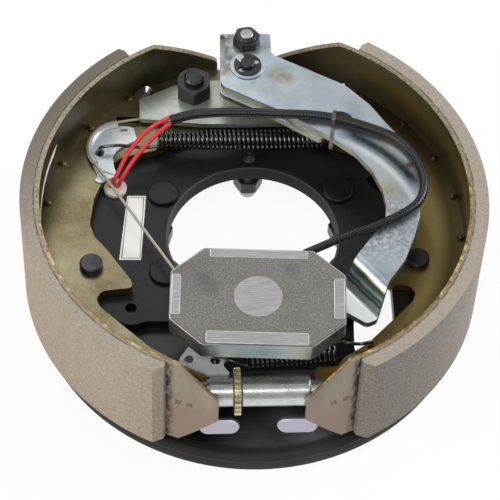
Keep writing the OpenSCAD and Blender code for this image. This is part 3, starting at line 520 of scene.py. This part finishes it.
def bonded_tan(place, streak):
    """Outside of the rim: streaky tan, browner low down, burnt along its two upright joints with the
    lining, with the outlines of four square punch marks at the near ends."""
    x, y, z = axes(place)
    beside = abs(abs(x) - JOINT_X).fall(0.0012, 0.0042) * y.fall(-0.07, -0.05)
    burnt = grain(place, 1.8 * MM, 4.0, 0.7, (1, 1, 0.5)).rise(0.42, 0.56)
    tan = layered(
        streak.tones((0.3, "#6a6152"), (0.52, "#857b69"), (0.75, "#998d79")),
        (z.fall(0.048, 0.08), 0.75, "#8a6e5c"),
        (burnt * beside, 1, "#241d17"),
    )
    for across in (-0.0537, -0.0464, 0.0462, 0.0542):
        square = abs(x - across) | abs(z - 0.064) * 0.8
        outline = abs(square - 0.0012).fall(0.0003, 0.0007)
        tan = layered(tan, (outline * y.fall(-0.12, -0.11), 0.85, "#231b13"))
    return tan


def cut_edge(place, speck):
    """Top edge of the rim: golden where the lacquer ran on the near half, dull olive behind, grey along
    its outer half."""
    gold = grain(place, 3.2 * MM, 4.0, 0.6).tones((0.34, "#6a4d24"), (0.5, "#93743f"), (0.64, "#cdb682"))
    dull = speck.tones((0.36, "#4b4530"), (0.5, "#8a8262"), (0.7, "#a89f80"))
    outer = speck.tones((0.3, "#5f574a"), (0.52, "#8f8675"), (0.7, "#a69d8e"))
    cut = blend(axes(place)[1].fall(-0.05, 0.06), dull, gold)
    return blend(from_hub(place).rise(RIM_IN + 0.0016, RIM_IN + 0.0022), cut, outer)


def friction_lining(name, tone):
    """Moulded friction lining: dull warm grey with fine grit, painted lighter on its top faces, with painted
    shade on the right side faces, heaviest near the front, and on top at the far left, darkened by the
    bond along the rim."""
    material, place = begin(name)
    grit = grain(place, 0.7 * MM, 3.0, 0.7)
    coarse = grain(place, 2.6 * MM, 3.0, 0.6)
    cloud = grain(place, 34 * MM, 3.0)
    x, y, _ = axes(place)
    top = upward(place).rise(0.5, 0.9)
    bond = from_hub(place).fall(RIM_OUT + 0.0004, RIM_OUT + 0.0011)
    right = x.rise(-0.04, 0.06) * (1.0 - top) * (y.fall(-0.11, -0.03) * 0.55 + 0.4)
    base = layered(
        grit.tones((0.32, "#756a5c"), (0.5, "#9b8f80"), (0.7, "#c1b6a7")),
        (1, 0.35, tone),
        (cloud.rise(0.42, 0.7), 0.3, "#a99f92"),
        (coarse.rise(0.6, 0.72), 0.25, "#776c5e"),
        # Painted light on the top faces, painted shade on the right side faces and on top at the far left
        (top, 0.35, "#a29c92"),
        (right, 1, grit.tones((0.32, "#625d56"), (0.5, "#7b756e"), (0.7, "#938c84"))),
        ((y - x).rise(0.10, 0.21) * top, 0.8, "#5c574c"),
        (bond * grain(place, 2.4 * MM, 3.0, 0.6).rise(0.3, 0.55), 0.8, "#2c2720"),
    )
    return close(material, base, 0.8, relief=(coarse * 0.5 + grit, 0.05 * MM), gloss=0.3)


def moulded_compound(name, tone):
    """Ground magnet compound: grey resin with fine pale and dark grit, soft smudges and fine scratches."""
    material, place = begin(name)
    grit = grain(place, 0.55 * MM, 3.0, 0.75)
    fleck = grain(place, 1.2 * MM, 2.0, 0.6)
    smudge = grain(place, 15 * MM, 3.0)
    base = layered(
        grit.tones((0.33, "#484642"), (0.5, "#706e69"), (0.67, "#9d9b95")),
        (1, 0.3, tone),
        (smudge.rise(0.5, 0.68), 0.35, "#545250"),
        (spot(place, (-0.036, -0.070, FACE_TOP), 0.009, 0.9), 0.5, "#4b4946"),
        (spot(place, (-0.031, -0.078, FACE_TOP), 0.008, 0.9), 0.5, "#4b4946"),
        (spot(place, (0.021, -0.064, FACE_TOP), 0.007, 0.9), 0.5, "#4b4946"),
        (fleck.rise(0.72, 0.77), 1, "#b5b3ae"),
    )
    return close(material, base, 0.6, relief=(grit, 0.03 * MM))


def ground_steel(name):
    """Pole faces ground flat with the compound: pale steel with fine lines along the magnet."""
    material, place = begin(name)
    lines = grain(place, 0.5 * MM, 4.0, 0.7, (0.07, 1.0, 1.0))
    base = layered(
        lines.tones((0.3, "#8e8d8e"), (0.5, "#a3a2a3"), (0.7, "#b9b8b9")),
        (grain(place, 7 * MM, 4.0).rise(0.5, 0.7), 0.35, "#8c8989"),
    )
    return close(material, base, lines * 0.2 + 0.38, 0.45, (lines, 0.012 * MM))


def black_oxide(name):
    """Black oxide on forged steel: dark grey, faintly cloudy, with a soft sheen."""
    material, place = begin(name)
    cloud = grain(place, 6 * MM, 4.0)
    base = blend(cloud.rise(0.4, 0.75), "#2b2b2c", "#47484a")
    return close(material, base, cloud * 0.22 + 0.2, 0.5, (grain(place, 1.2 * MM), 0.05 * MM))


def bright_steel(name, light="#b9bbbb", dark="#7d7f80", metal=0.9):
    """Turned bright steel: grey metal with fine tool lines."""
    material, place = begin(name)
    lines = grain(place, 0.8 * MM, 3.0, 0.6, (1, 1, 0.2))
    base = grain(place, 7 * MM, 4.0).tones((0.3, dark), (0.65, light))
    return close(material, base, lines * 0.3 + 0.2, metal, (lines, 0.03 * MM))


def adjuster_zinc(name, tones=("#b9bebb", "#ccd0cc", "#dcdfda"), metal=0.85):
    """Barrel-plated zinc on the adjuster: grey metal with a slight straw tint, pin marks, turned rings."""
    material, place = begin(name)
    rings = grain(place, 0.8 * MM, 2.0, 0.5, (1, 0.05, 0.05))
    cloud = grain(place, 6 * MM, 3.0, 0.5)
    pin = grain(place, 0.8 * MM, 2.0, 0.6)
    base = layered(
        cloud.tones(*zip((0.3, 0.5, 0.7), tones)),
        (rings.rise(0.55, 0.7), 0.12, "#8b8f8a"),
        (pin.rise(0.7, 0.76), 1, "#6f726b"),
    )
    return close(material, base, cloud * 0.16 + 0.2, metal, (rings, 0.012 * MM))


def spring_enamel(name):
    """Gloss black enamel on spring wire: deep black with sharp highlights."""
    material, place = begin(name)
    base = blend(grain(place, 4 * MM), "#0b0b0c", "#18191a")
    return close(material, base, 0.1, gloss=0.9, **{"Coat Weight": 1.0, "Coat Roughness": 0.05})


def lead_insulation(name, tone):
    """Extruded lead insulation: saturated red with a soft plastic sheen."""
    material, place = begin(name)
    return close(material, blend(grain(place, 5 * MM), tone, "#e8434c"), 0.38)


def braided_sleeve(name):
    """Varnished braided sleeve: black strands 1.6 mm apart crossing at a slant, on the tube's own UV. They
    are drawn a little coarser than the real ones, so that they show."""
    material, place = begin(name)
    weave = strands(place, 40, 0.314 / (1.6 * MM), 0.6) * strands(place, -40, 0.314 / (1.6 * MM), 0.6)
    base = weave.tones((0.05, "#040405"), (0.5, "#0f0f11"), (0.9, "#47484d"))
    return close(material, base, 0.26, relief=(weave, 0.13 * MM))


def strand_coat(name, tone):
    """Stranded cable under a clear ivory coat: fine slanting strands on the tube's own UV."""
    material, place = begin(name)
    lay = strands(place, 28, 0.32 / (0.9 * MM))
    return close(material, layered(tone, (lay, 0.4, "#857f6c")), 0.4, 0.2, (lay, 0.05 * MM))


def soft_rubber(name, tone, soil="#b4ad97"):
    """Moulded rubber: dull, slightly soiled."""
    material, place = begin(name)
    return close(material, blend(grain(place, 4 * MM).rise(0.45, 0.75), tone, soil), 0.6)


def label_paper(name):
    """Coated white label paper: bright, slightly grubby."""
    material, place = begin(name)
    return close(material, blend(grain(place, 9 * MM).rise(0.5, 0.8), "#f7f6f1", "#e9e6de"), 0.5)


def ink_line(name):
    """Printed border line: matt black ink."""
    material, place = begin(name)
    return close(material, blend(grain(place, 3 * MM), "#1c1c1c", "#333333"), 0.6)


def enamelled_copper(name):
    """Enamelled winding wire: reddish copper under clear enamel, hidden in the magnet."""
    material, place = begin(name)
    base = grain(place, 0.8 * MM, 2.0, 0.5, (1, 1, 3)).tones((0.3, "#7a3f1c"), (0.7, "#c9814a"))
    return close(material, base, 0.3, 0.8)


def finish(material, *names):
    """Puts one material on CAD nodes."""
    for name in names:
        mesh = NODES[name].data
        mesh.materials.clear()
        mesh.materials.append(material)


def unit(rows):
    """Each row divided by its length."""
    return rows / np.linalg.norm(rows, axis=-1, keepdims=True)


def through(points, between):
    """Catmull-Rom curve: between each two points it bends by their neighbours, in equal steps."""
    p = np.array(points, float) * MM
    ends = np.vstack([p[:1], p, p[-1:]])
    a, b, c, d = (ends[i : len(p) - 1 + i][:, None, :] for i in range(4))
    t = (np.arange(between) / between)[None, :, None]
    run = 0.5 * (2 * b + (c - a) * t + (2 * a - 5 * b + 4 * c - d) * t**2 + (3 * b - a - 3 * c + d) * t**3)
    return np.vstack([run.reshape(-1, 3), p[-1:]])


def circle(sides, across, up):
    """A circle of radius 1 in the plane of two directions: cos v * across + sin v * up, v in equal steps."""
    v = 2 * np.pi * np.arange(sides) / sides
    return np.cos(v)[None, :, None] * across[:, None] + np.sin(v)[None, :, None] * up[:, None]


def tube(path, radius, sides, lean):
    """Circle carried along a path: centre + radius * (cos v * n + sin v * b), where n is lean made
    square to the path and b is square to both. radius is one number or one for each point. Gives rings."""
    path = np.asarray(path, float)
    ahead = unit(np.gradient(path, axis=0))
    lean = np.broadcast_to(np.asarray(lean, float), path.shape)
    n = unit(lean - ahead * np.sum(lean * ahead, axis=1, keepdims=True))
    radius = np.broadcast_to(radius, len(path))[:, None, None]
    return path[:, None] + radius * circle(sides, n, np.cross(ahead, n))


def soften(path, passes):
    """Each inner point moved halfway to the middle of its neighbours, over and over; the ends stay."""
    for _ in range(passes):
        path[1:-1] = (path[:-2] + 2 * path[1:-1] + path[2:]) / 4
    return path


def rounded_loop(low, high, corner, per_corner=5):
    """Closed outline of a rectangle with round corners: a quarter circle at each corner in turn."""
    turn = np.linspace(0, math.pi / 2, per_corner)
    rows = []
    for i, (x, y) in enumerate((
        (high[0] - corner, high[1] - corner), (low[0] + corner, high[1] - corner),
        (low[0] + corner, low[1] + corner), (high[0] - corner, low[1] + corner),
    )):
        a = turn + i * math.pi / 2
        rows.append(np.stack([x + corner * np.cos(a), y + corner * np.sin(a)], axis=1))
    return np.vstack(rows)


def slab(outline, low, high):
    """Rings of a thin slab over a four-cornered outline: one at each level."""
    return np.stack([np.column_stack([outline, np.full(4, level)]) for level in (low, high)])[:, ::-1]


def sheet_faces(rows, cols, first):
    """Quads between the rows of a grid of points, wrapped round, and the row and column of each."""
    i, k = np.meshgrid(np.arange(rows - 1), np.arange(cols), indexing="ij")
    after = (k + 1) % cols
    quads = np.stack([i * cols + k, i * cols + after, (i + 1) * cols + after, (i + 1) * cols + k], axis=-1)
    return first + quads.reshape(-1, 4), i.ravel(), k.ravel()


def new_piece(name, points, faces, material, body, smooth=True):
    """One object from points and faces, its quads shaded smooth, riding on a body where one is given."""
    mesh = bpy.data.meshes.new(name)
    mesh.from_pydata(np.vstack(points).tolist(), [], faces)
    if smooth:
        mesh.polygons.foreach_set("use_smooth", [len(face) == 4 for face in faces])
    mesh.materials.append(material)
    made = bpy.data.objects.new(name, mesh)
    bpy.context.scene.collection.objects.link(made)
    if body:
        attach(made, body)
    return made


def tube_piece(name, tubes, material, body, smooth=True, layout=False):
    """One object from closed tubes, with end caps. layout adds a UV map in metres, along and round."""
    points, faces, chart, first = [], [], [], 0
    for rings in tubes:
        rows, cols, _ = rings.shape
        quads, i, k = sheet_faces(rows, cols, first)
        faces += quads.tolist()
        cap = first + np.arange(cols)
        faces += [cap[::-1].tolist(), (cap + (rows - 1) * cols).tolist()]
        points.append(rings.reshape(-1, 3))
        lengths = np.linalg.norm(np.diff(rings.mean(axis=1), axis=0), axis=1)
        run = np.concatenate([[0], np.cumsum(lengths)])
        girth = 2 * np.pi * np.linalg.norm(rings[0, 0] - rings[0].mean(axis=0))
        u = np.stack([run[i], run[i], run[i + 1], run[i + 1]], axis=-1)
        v = np.stack([k, k + 1, k + 1, k], axis=-1) * girth / cols
        chart += [np.stack([u, v], axis=-1).reshape(-1, 2), np.zeros((2 * cols, 2))]
        first += rows * cols
    made = new_piece(name, points, faces, material, body, smooth)
    if layout:
        made.data.uv_layers.new(name="along").data.foreach_set("uv", np.vstack(chart).ravel())
    return made


def bead_piece(name, loops, radius, sides, material, body):
    """Round bead along closed level outlines: a circle of the given radius carried round each one."""
    points, faces, first = [], [], 0
    for loop in loops:
        ahead = unit(np.roll(loop, -1, axis=0) - np.roll(loop, 1, axis=0))
        out = np.stack([ahead[:, 1], -ahead[:, 0], np.zeros(len(loop))], axis=1)
        points.append((loop[:, None] + radius * circle(sides, out, np.array([[0, 0, 1.0]]))).reshape(-1, 3))
        quads = sheet_faces(len(loop) + 1, sides, 0)[0] % (len(loop) * sides)
        faces += (first + quads[:, ::-1]).tolist()
        first += len(loop) * sides
    return new_piece(name, points, faces, material, body)


def turns(start, end, radius, count, per_turn, lean=(0, 0, 1)):
    """Helix from start to end: the axis point plus radius * (cos a * side + sin a * down), a growing
    by one turn every pitch, side square to the axis and to lean. Gives the path and its outward lean."""
    start, end = np.array(start, float) * MM, np.array(end, float) * MM
    axis = unit(end - start)
    side = unit(np.cross(axis, lean))
    down = np.cross(axis, side)
    share = np.linspace(0, 1, int(count * per_turn) + 1)[:, None]
    angle = 2 * math.pi * count * share
    out = np.cos(angle) * side + np.sin(angle) * down
    return start + (end - start) * share + radius * out, out


def cable_path():
    """The cable: straight from the eye, round the guide's groove as an arc, straight to the hook."""
    angles = np.radians(np.linspace(*GUIDE_ARC, ARC_POINTS))
    arc = np.stack([GUIDE_AT[0] + GUIDE_R * np.cos(angles), GUIDE_AT[1] + GUIDE_R * np.sin(angles),
                    np.full(ARC_POINTS, CABLE_Z + CABLE_LIFT)], axis=1)
    under = CABLE_EYE + (arc[0] - CABLE_EYE) * (2 / 2.6)
    under[2] = CABLE_Z
    return np.vstack([CABLE_EYE, under, arc, CABLE_HOOK]) * MM


class BRAKE_OT_stage(bpy.types.Operator):
    """Camera of the photograph, white floor and soft lamps"""

    bl_idname = "brake.stage"
    bl_label = "Stage"

    def execute(self, context):
        scene = context.scene
        level = math.cos(ELEVATION)
        ahead = Vector((math.sin(AZIMUTH) * level, math.cos(AZIMUTH) * level, -math.sin(ELEVATION)))
        right = Vector((math.cos(AZIMUTH), -math.sin(AZIMUTH), 0))
        up = right.cross(ahead)
        right, up = right * math.cos(ROLL) + up * math.sin(ROLL), up * math.cos(ROLL) - right * math.sin(ROLL)
        lens = bpy.data.cameras.new("camera")
        lens.sensor_width = SENSOR
        lens.lens = FOCAL_PX / PHOTO_PX * SENSOR
        lens.clip_start = 0.05
        camera = bpy.data.objects.new("camera", lens)
        camera.matrix_world = Matrix.Translation(EYE) @ Matrix((right, up, -ahead)).transposed().to_4x4()
        scene.collection.objects.link(camera)
        scene.camera = camera
        scene.view_settings.view_transform = "Standard"
        self.floor(scene)
        self.lamps(scene)
        return {"FINISHED"}

    def floor(self, scene):
        """A flat white square under the part, made from its four corners."""
        mesh = bpy.data.meshes.new("floor")
        corners = [(x * FLOOR_HALF, y * FLOOR_HALF, 0) for x, y in ((-1, -1), (1, -1), (1, 1), (-1, 1))]
        mesh.from_pydata(corners, [], [(0, 1, 2, 3)])
        floor = bpy.data.objects.new("floor", mesh)
        scene.collection.objects.link(floor)
        mesh.materials.append(self.paper())

    def paper(self):
        """Matt white backdrop paper: it takes the part's shadow, and looks white to camera and metal. It has
        painted light in the hub hole, where it glows more and shows less shadow, and a painted grey shadow
        behind the adjusting slots."""
        material, place = begin("backdrop_paper")
        close(material, "#ffffff", 0.9)
        tree = material.node_tree
        seen = add(tree, "ShaderNodeLightPath").outputs
        away = from_hub(place)
        # Painted grey shadow behind the adjusting slots; painted light, as more glow, in the hub hole
        slots = away.rise(0.108, 0.114) * away.fall(0.138, 0.144)
        level = slots * 0.95 | away.fall(0.075, 0.095) * 0.05 + 0.9
        share = (Field(seen["Is Camera Ray"]) | Field(seen["Is Glossy Ray"])) * level
        shade = blend(slots, "#ffffff", "#b3b1bc")
        glow = place.node("ShaderNodeEmission", {"Color": shade, "Strength": 1.0})
        matt = Field(tree.nodes["Principled BSDF"].outputs[0])
        mixed = place.node("ShaderNodeMixShader", {0: share, 1: matt, 2: glow})
        feed(tree.nodes["Material Output"], {"Surface": mixed})
        return material

    def lamps(self, scene):
        """Soft boxes to the left, the right, high behind and above the camera, in an even pale room that
        is white to the camera."""
        for name, place, size, power, tone in (
            ("key", (-1.9, -0.7, 1.2), 1.3, 26.5, "#fff5e8"),
            ("side", (1.8, 0.45, 0.9), 1.3, 33.0, "#f6f8ff"),
            ("back", (-0.42, 1.15, 1.75), 0.9, 7.5, "#ffffff"),
            ("front", (-0.30, -1.30, 2.00), 0.5, 9.0, "#ffffff"),
        ):
            lamp = bpy.data.lights.new(name, "AREA")
            lamp.shape = "SQUARE"
            lamp.size = size
            lamp.energy = power
            lamp.color = linear(tone)[:3]
            made = bpy.data.objects.new(name, lamp)
            aim = (-Vector(place)).to_track_quat("-Z", "Y").to_matrix().to_4x4()
            made.matrix_world = Matrix.Translation(place) @ aim
            scene.collection.objects.link(made)
        world = bpy.data.worlds.new("room")
        scene.world = world
        world.use_nodes = True
        seen = Field(add(world.node_tree, "ShaderNodeLightPath").outputs["Is Camera Ray"])
        feed(world.node_tree.nodes["Background"], {"Color": "#ffffff", "Strength": seen * 0.62 + 0.38})


class BRAKE_OT_tails(bpy.types.Operator):
    """The two loose leads behind the plate, cut square, lying on the ground inside the plate"""

    bl_idname = "brake.tails"
    bl_label = "Loose leads"

    def execute(self, context):
        sizes, colours = context.scene.brake_sizes, context.scene.brake_colours
        material = lead_insulation("red_lead_tail_insulation", colours.lead)
        for node, points in (("lead_tail_a", TAIL_A), ("lead_tail_b", TAIL_B)):
            path = through(points, 4)
            made = tube_piece(node + "_round", [tube(path, sizes.lead, 12, (1, 0, 0.2))], material, "base")
            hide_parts(node)
            length = float(np.linalg.norm(np.diff(path, axis=0), axis=1).sum())
        return {"FINISHED"}


class BRAKE_OT_leads(bpy.types.Operator):
    """The braided sleeve on the arm and the two red leads that run from it to the grommet"""

    bl_idname = "brake.leads"
    bl_label = "Magnet leads"

    def execute(self, context):
        sizes, colours = context.scene.brake_sizes, context.scene.brake_colours
        path = through(SLEEVE_ROUTE, 10)
        share = np.linspace(0, 1, len(path))
        radius = sizes.sleeve * (1 - 0.08 * np.clip(share * 4, 0, 1) - 0.10 * np.clip(share * 2 - 0.8, 0, 1))
        sleeve = tube_piece("braided_sleeve", [tube(path, radius, 28, (0, 0.1, 1))],
                            braided_sleeve("varnished_braided_sleeve"), None, layout=True)
        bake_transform(sleeve)
        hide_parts("lead_sleeve")
        red = lead_insulation("extruded_lead_insulation", colours.lead)
        paths = [soften(through(points, 8), 40) for points in (LEAD_A, LEAD_B)]
        runs = [tube(path, sizes.lead, 14, (1, 0.6, 0.3)) for path in paths]
        leads = tube_piece("red_leads", runs, red, None)
        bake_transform(leads)
        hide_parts("lead_wires")
        self.knob()
        return {"FINISHED"}

    def knob(self):
        """The bead of black sealant where the clip pinches the sleeve: a tube whose radius swells as the
        square root of the sine of its share of the length."""
        path = through(SEALANT_ROUTE, 8)
        swell = (0.5 + 2.5 * np.sqrt(np.sin(np.pi * np.linspace(0.02, 0.98, len(path))))) * MM
        rubber = soft_rubber("black_sealant", "#0b0b0c", "#19191a")
        return tube_piece("clip_sealant", [tube(path, swell, 20, (0, 0.1, 1))], rubber, "arm")


class BRAKE_OT_cable(bpy.types.Operator):
    """The adjuster cable"""

    bl_idname = "brake.cable"
    bl_label = "Adjuster cable"

    def execute(self, context):
        sizes, colours = context.scene.brake_sizes, context.scene.brake_colours
        made = tube_piece("stranded_cable", [tube(cable_path(), sizes.cable, 14, (0, 0, 1))],
                          strand_coat("stranded_cable_coat", colours.cable), "left_shoe", layout=True)
        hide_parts("adjuster_cable")
        return {"FINISHED"}


class BRAKE_OT_springs(bpy.types.Operator):
    """The two shoe springs, wound smoothly, with their hooked ends"""

    bl_idname = "brake.springs"
    bl_label = "Return springs"

    def execute(self, context):
        sizes = context.scene.brake_sizes
        enamel = spring_enamel("gloss_black_spring_enamel")
        for side, (start, end, count) in RETURN_SPRINGS.items():
            path, out = turns(start, end, sizes.spring_coil, count, COIL_STEPS)
            coil = tube(path, sizes.spring_wire, WIRE_SIDES, out)
            middle = len(path) // 2
            first, last = (
                tube(through(points, 8), sizes.spring_wire, WIRE_SIDES, (0, 1, 0.1))
                for points in SPRING_HOOKS[side]
            )
            ends = [np.array(point, float) * MM for point in (start, end)]
            centre = (ends[0] + ends[1]) / 2
            for half, parts, joined, reach in (
                ("left", [coil[: middle + 1], first], ("left_shoe", "base"), (ends[0], centre)),
                ("right", [coil[middle:], last], ("base", "right_shoe"), (centre, ends[1])),
            ):
                made = tube_piece(f"{side}_spring_{half}", parts, enamel, None)
                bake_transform(made)
                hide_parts(side + "_spring")
        plain = bright_steel("plain_spring_steel", "#a9acae", "#6f7274")
        finish(plain, "left_hold_spring", "right_hold_spring")
        self.magnet_spring(plain)
        return {"FINISHED"}

    def magnet_spring(self, material):
        """The magnet's spring round its stud: a helix of three turns that rides on the arm."""
        low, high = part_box("magnet_spring")
        middle = (low + high) / 2
        wire = 0.8 * MM
        start = np.array((middle.x, middle.y, low.z + wire)) / MM
        end = np.array((middle.x, middle.y, high.z - wire)) / MM
        path, out = turns(start, end, (high.x - low.x) / 2 - wire, 3, COIL_STEPS, (0, 1, 0))
        made = tube_piece("magnet_spring_wound", [tube(path, wire, WIRE_SIDES, out)], material, "arm")
        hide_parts("magnet_spring")
        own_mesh(made)


class BRAKE_OT_shoes(bpy.types.Operator):
    """Lacquer of both shoes, rim and web"""

    bl_idname = "brake.shoes"
    bl_label = "Shoes"

    def execute(self, context):
        colours = context.scene.brake_colours
        lacquer = lacquered_steel("olive_lacquered_steel", colours.shoe, colours.shoe_dark)
        finish(lacquer, "left_shoe_table", "right_shoe_table", "left_web", "right_web")
        self.strip()
        return {"FINISHED"}

    def strip(self):
        """A blank paper strip inside the left rim: a thin band on the cylinder that slopes down as it runs
        round, so its height is a straight ramp of the angle."""
        share = np.linspace(0, 1, 40)
        angle = np.radians(157.5 + 27.5 * share)
        high = (92.6 - 9.4 * share) * MM
        low = high - (4.0 - 0.4 * share) * MM * np.clip(share / 0.08, 0.05, 1)
        back, front = RIM_IN - 0.05 * MM, RIM_IN - 0.22 * MM
        rings = np.stack([
            np.stack([radius * np.cos(angle), radius * np.sin(angle), level], axis=1)
            for radius, level in ((back, low), (front, low), (front, high), (back, high))
        ], axis=1)
        paper = label_paper("white_paper_strip")
        return tube_piece("blank_paper_strip", [rings[:, ::-1]], paper, "left_shoe", smooth=False)


class BRAKE_OT_linings(bpy.types.Operator):
    """Both friction linings"""

    bl_idname = "brake.linings"
    bl_label = "Linings"

    def execute(self, context):
        material = friction_lining("moulded_friction_lining", context.scene.brake_colours.lining)
        finish(material, "left_lining", "right_lining")
        return {"FINISHED"}


class BRAKE_OT_plate(bpy.types.Operator):
    """Backing plate, spider, rivets and the blank label"""

    bl_idname = "brake.plate"
    bl_label = "Plate"

    def execute(self, context):
        colours = context.scene.brake_colours
        finish(baked_black("baked_black_plate_enamel", colours.plate, 0.2, 0.2, 0.35), "backing_plate")
        satin = baked_black("satin_black_spider_paint", colours.spider, 0.32, 0.14, 0.3)
        finish(satin, "spider", "spider_rivets")
        finish(soft_rubber("cream_moulded_rubber", "#d9d4c3"), "wire_grommet")
        self.label()
        self.border()
        return {"FINISHED"}

    def label(self):
        """A thin blank slab over the label's four corners."""
        rings = slab(LABEL_CORNERS, SPIDER_TOP, SPIDER_TOP + LABEL_THICK)
        return tube_piece("blank_label", [rings], label_paper("white_label_paper"), "base", smooth=False)

    def border(self):
        """A printed frame on the label, between two outlines shrunk round its centre: four low bars."""
        centre = LABEL_CORNERS.mean(axis=0)
        outer, inner = (centre + (LABEL_CORNERS - centre) * share for share in (BORDER_OUTER, BORDER_INNER))
        low = SPIDER_TOP + LABEL_THICK
        bars = [
            slab(np.array([outer[i], outer[i - 3], inner[i - 3], inner[i]]), low, low + BORDER_THICK)
            for i in range(4)
        ]
        return tube_piece("label_border", bars, ink_line("printed_border_line"), "base", smooth=False)


class BRAKE_OT_zinc(bpy.types.Operator):
    """Zinc-plated arm, guides, lever, washers and clips"""

    bl_idname = "brake.zinc"
    bl_label = "Zinc parts"

    def execute(self, context):
        finish(zinc_plate("stained_zinc_plate", marks=arm_marks), "magnet_arm", "arm_doubler")
        finish(zinc_plate("clear_zinc_plate"), "post_spacer", "pivot_washer", "magnet_clip", "cable_eye",
               "lever_pivot")
        finish(zinc_plate("dull_zinc_plate", "#b4bab2", "#9ba29b", "#c5c9c0", 0.6), "guide_plate")
        finish(zinc_plate("bright_zinc_plate", "#c6cfd3", "#b2bcc1", "#d6dbdb", 0.4), "cable_guide")
        # Painted light: the lever gets a paler, nearly matt copy of the zinc, lightening it in the magnet's
        # shade
        finish(zinc_plate("lightened_lever_zinc_plate", "#e9efef", "#dbe2e2", "#f2f4f2", 0.05), "adjuster_lever")
        finish(bright_steel("oiled_clip_steel", "#8f8e86", "#57554d", 0.8), "lead_clip")
        finish(adjuster_zinc("barrel_zinc_plate"), "adjuster_socket", "adjuster_tube")
        finish(adjuster_zinc("straw_zinc_plate", ("#b1a888", "#cbc3a3", "#e0dac0"), 0.6), "star_wheel")
        return {"FINISHED"}


class BRAKE_OT_magnet(bpy.types.Operator):
    """Magnet housing, poles, core, face and coil"""

    bl_idname = "brake.magnet"
    bl_label = "Magnet"

    def execute(self, context):
        pan = zinc_plate("housing_zinc_plate", "#9ba5a8", "#78838a", "#b3babb", marks=housing_marks)
        finish(pan, "magnet_housing")
        finish(ground_steel("ground_pole_steel"), "pole_frame", "magnet_core")
        compound = moulded_compound("ground_magnet_compound", context.scene.brake_colours.compound)
        finish(compound, "magnet_face")
        self.pole_glints()
        finish(enamelled_copper("enamelled_copper_winding"), "magnet_coil")
        finish(bright_steel("turned_bright_steel"), "magnet_stud", "toggle_bolt", "toggle_sleeve",
               "mounting_studs", "cable_hook")
        return {"FINISHED"}

    def pole_glints(self):
        """Painted highlight on the edges of the pole faces: thin bright beads round each bar."""
        cos, sin = math.cos(MAGNET_TURN), math.sin(MAGNET_TURN)
        loops = []
        for low, high in POLE_BARS:
            plan = rounded_loop(low, high, POLE_CORNER) @ np.array([[cos, sin], [-sin, cos]]) + MAGNET_AT
            loops.append(np.column_stack([plan * MM, np.full(len(plan), POLE_TOP)]))
        steel = bright_steel("pole_edge_highlight_steel", "#e4e4e2", "#b9b9b6", 0.6)
        return bead_piece("pole_edge_highlights", loops, POLE_GLINT, POLE_GLINT_SIDES, steel, "magnet")


class BRAKE_OT_fasteners(bpy.types.Operator):
    """Black nuts, studs, pins, cups and clips"""

    bl_idname = "brake.fasteners"
    bl_label = "Fasteners"

    def execute(self, context):
        finish(black_oxide("black_oxide_steel"), "mounting_nuts", "anchor_studs", "anchor_nuts",
               "anchor_post", "pivot_clip", "toggle_nut", "left_hold_pin", "left_hold_cup",
               "right_hold_pin", "right_hold_cup", "lever_clip")
        return {"FINISHED"}


OPERATORS = (
    BRAKE_OT_stage, BRAKE_OT_tails, BRAKE_OT_leads, BRAKE_OT_cable, BRAKE_OT_springs, BRAKE_OT_shoes,
    BRAKE_OT_linings, BRAKE_OT_plate, BRAKE_OT_zinc, BRAKE_OT_magnet, BRAKE_OT_fasteners,
)


class BRAKE_PT_panel(bpy.types.Panel):
    """Buttons and values of the dresser"""

    bl_idname = "BRAKE_PT_panel"
    bl_label = "Electric Brake"
    bl_space_type = "VIEW_3D"
    bl_region_type = "UI"
    bl_category = "Brake"

    def draw(self, context):
        for group in (context.scene.brake_colours, context.scene.brake_sizes):
            box = self.layout.box()
            for name in group.bl_rna.properties.keys():
                if name not in {"rna_type", "name"}:
                    box.prop(group, name)
        for operator in OPERATORS:
            self.layout.operator(operator.bl_idname)


CLASSES = (BrakeColours, BrakeSizes, *OPERATORS, BRAKE_PT_panel)


def register():
    for item in CLASSES:
        bpy.utils.register_class(item)
    bpy.types.Scene.brake_colours = bpy.props.PointerProperty(type=BrakeColours)
    bpy.types.Scene.brake_sizes = bpy.props.PointerProperty(type=BrakeSizes)


def unregister():
    del bpy.types.Scene.brake_colours
    del bpy.types.Scene.brake_sizes
    for item in reversed(CLASSES):
        bpy.utils.unregister_class(item)


def main():
    register()
    for operator in OPERATORS:
        getattr(bpy.ops.brake, operator.bl_idname.partition(".")[2])()


if __name__ == "__main__":
    main()
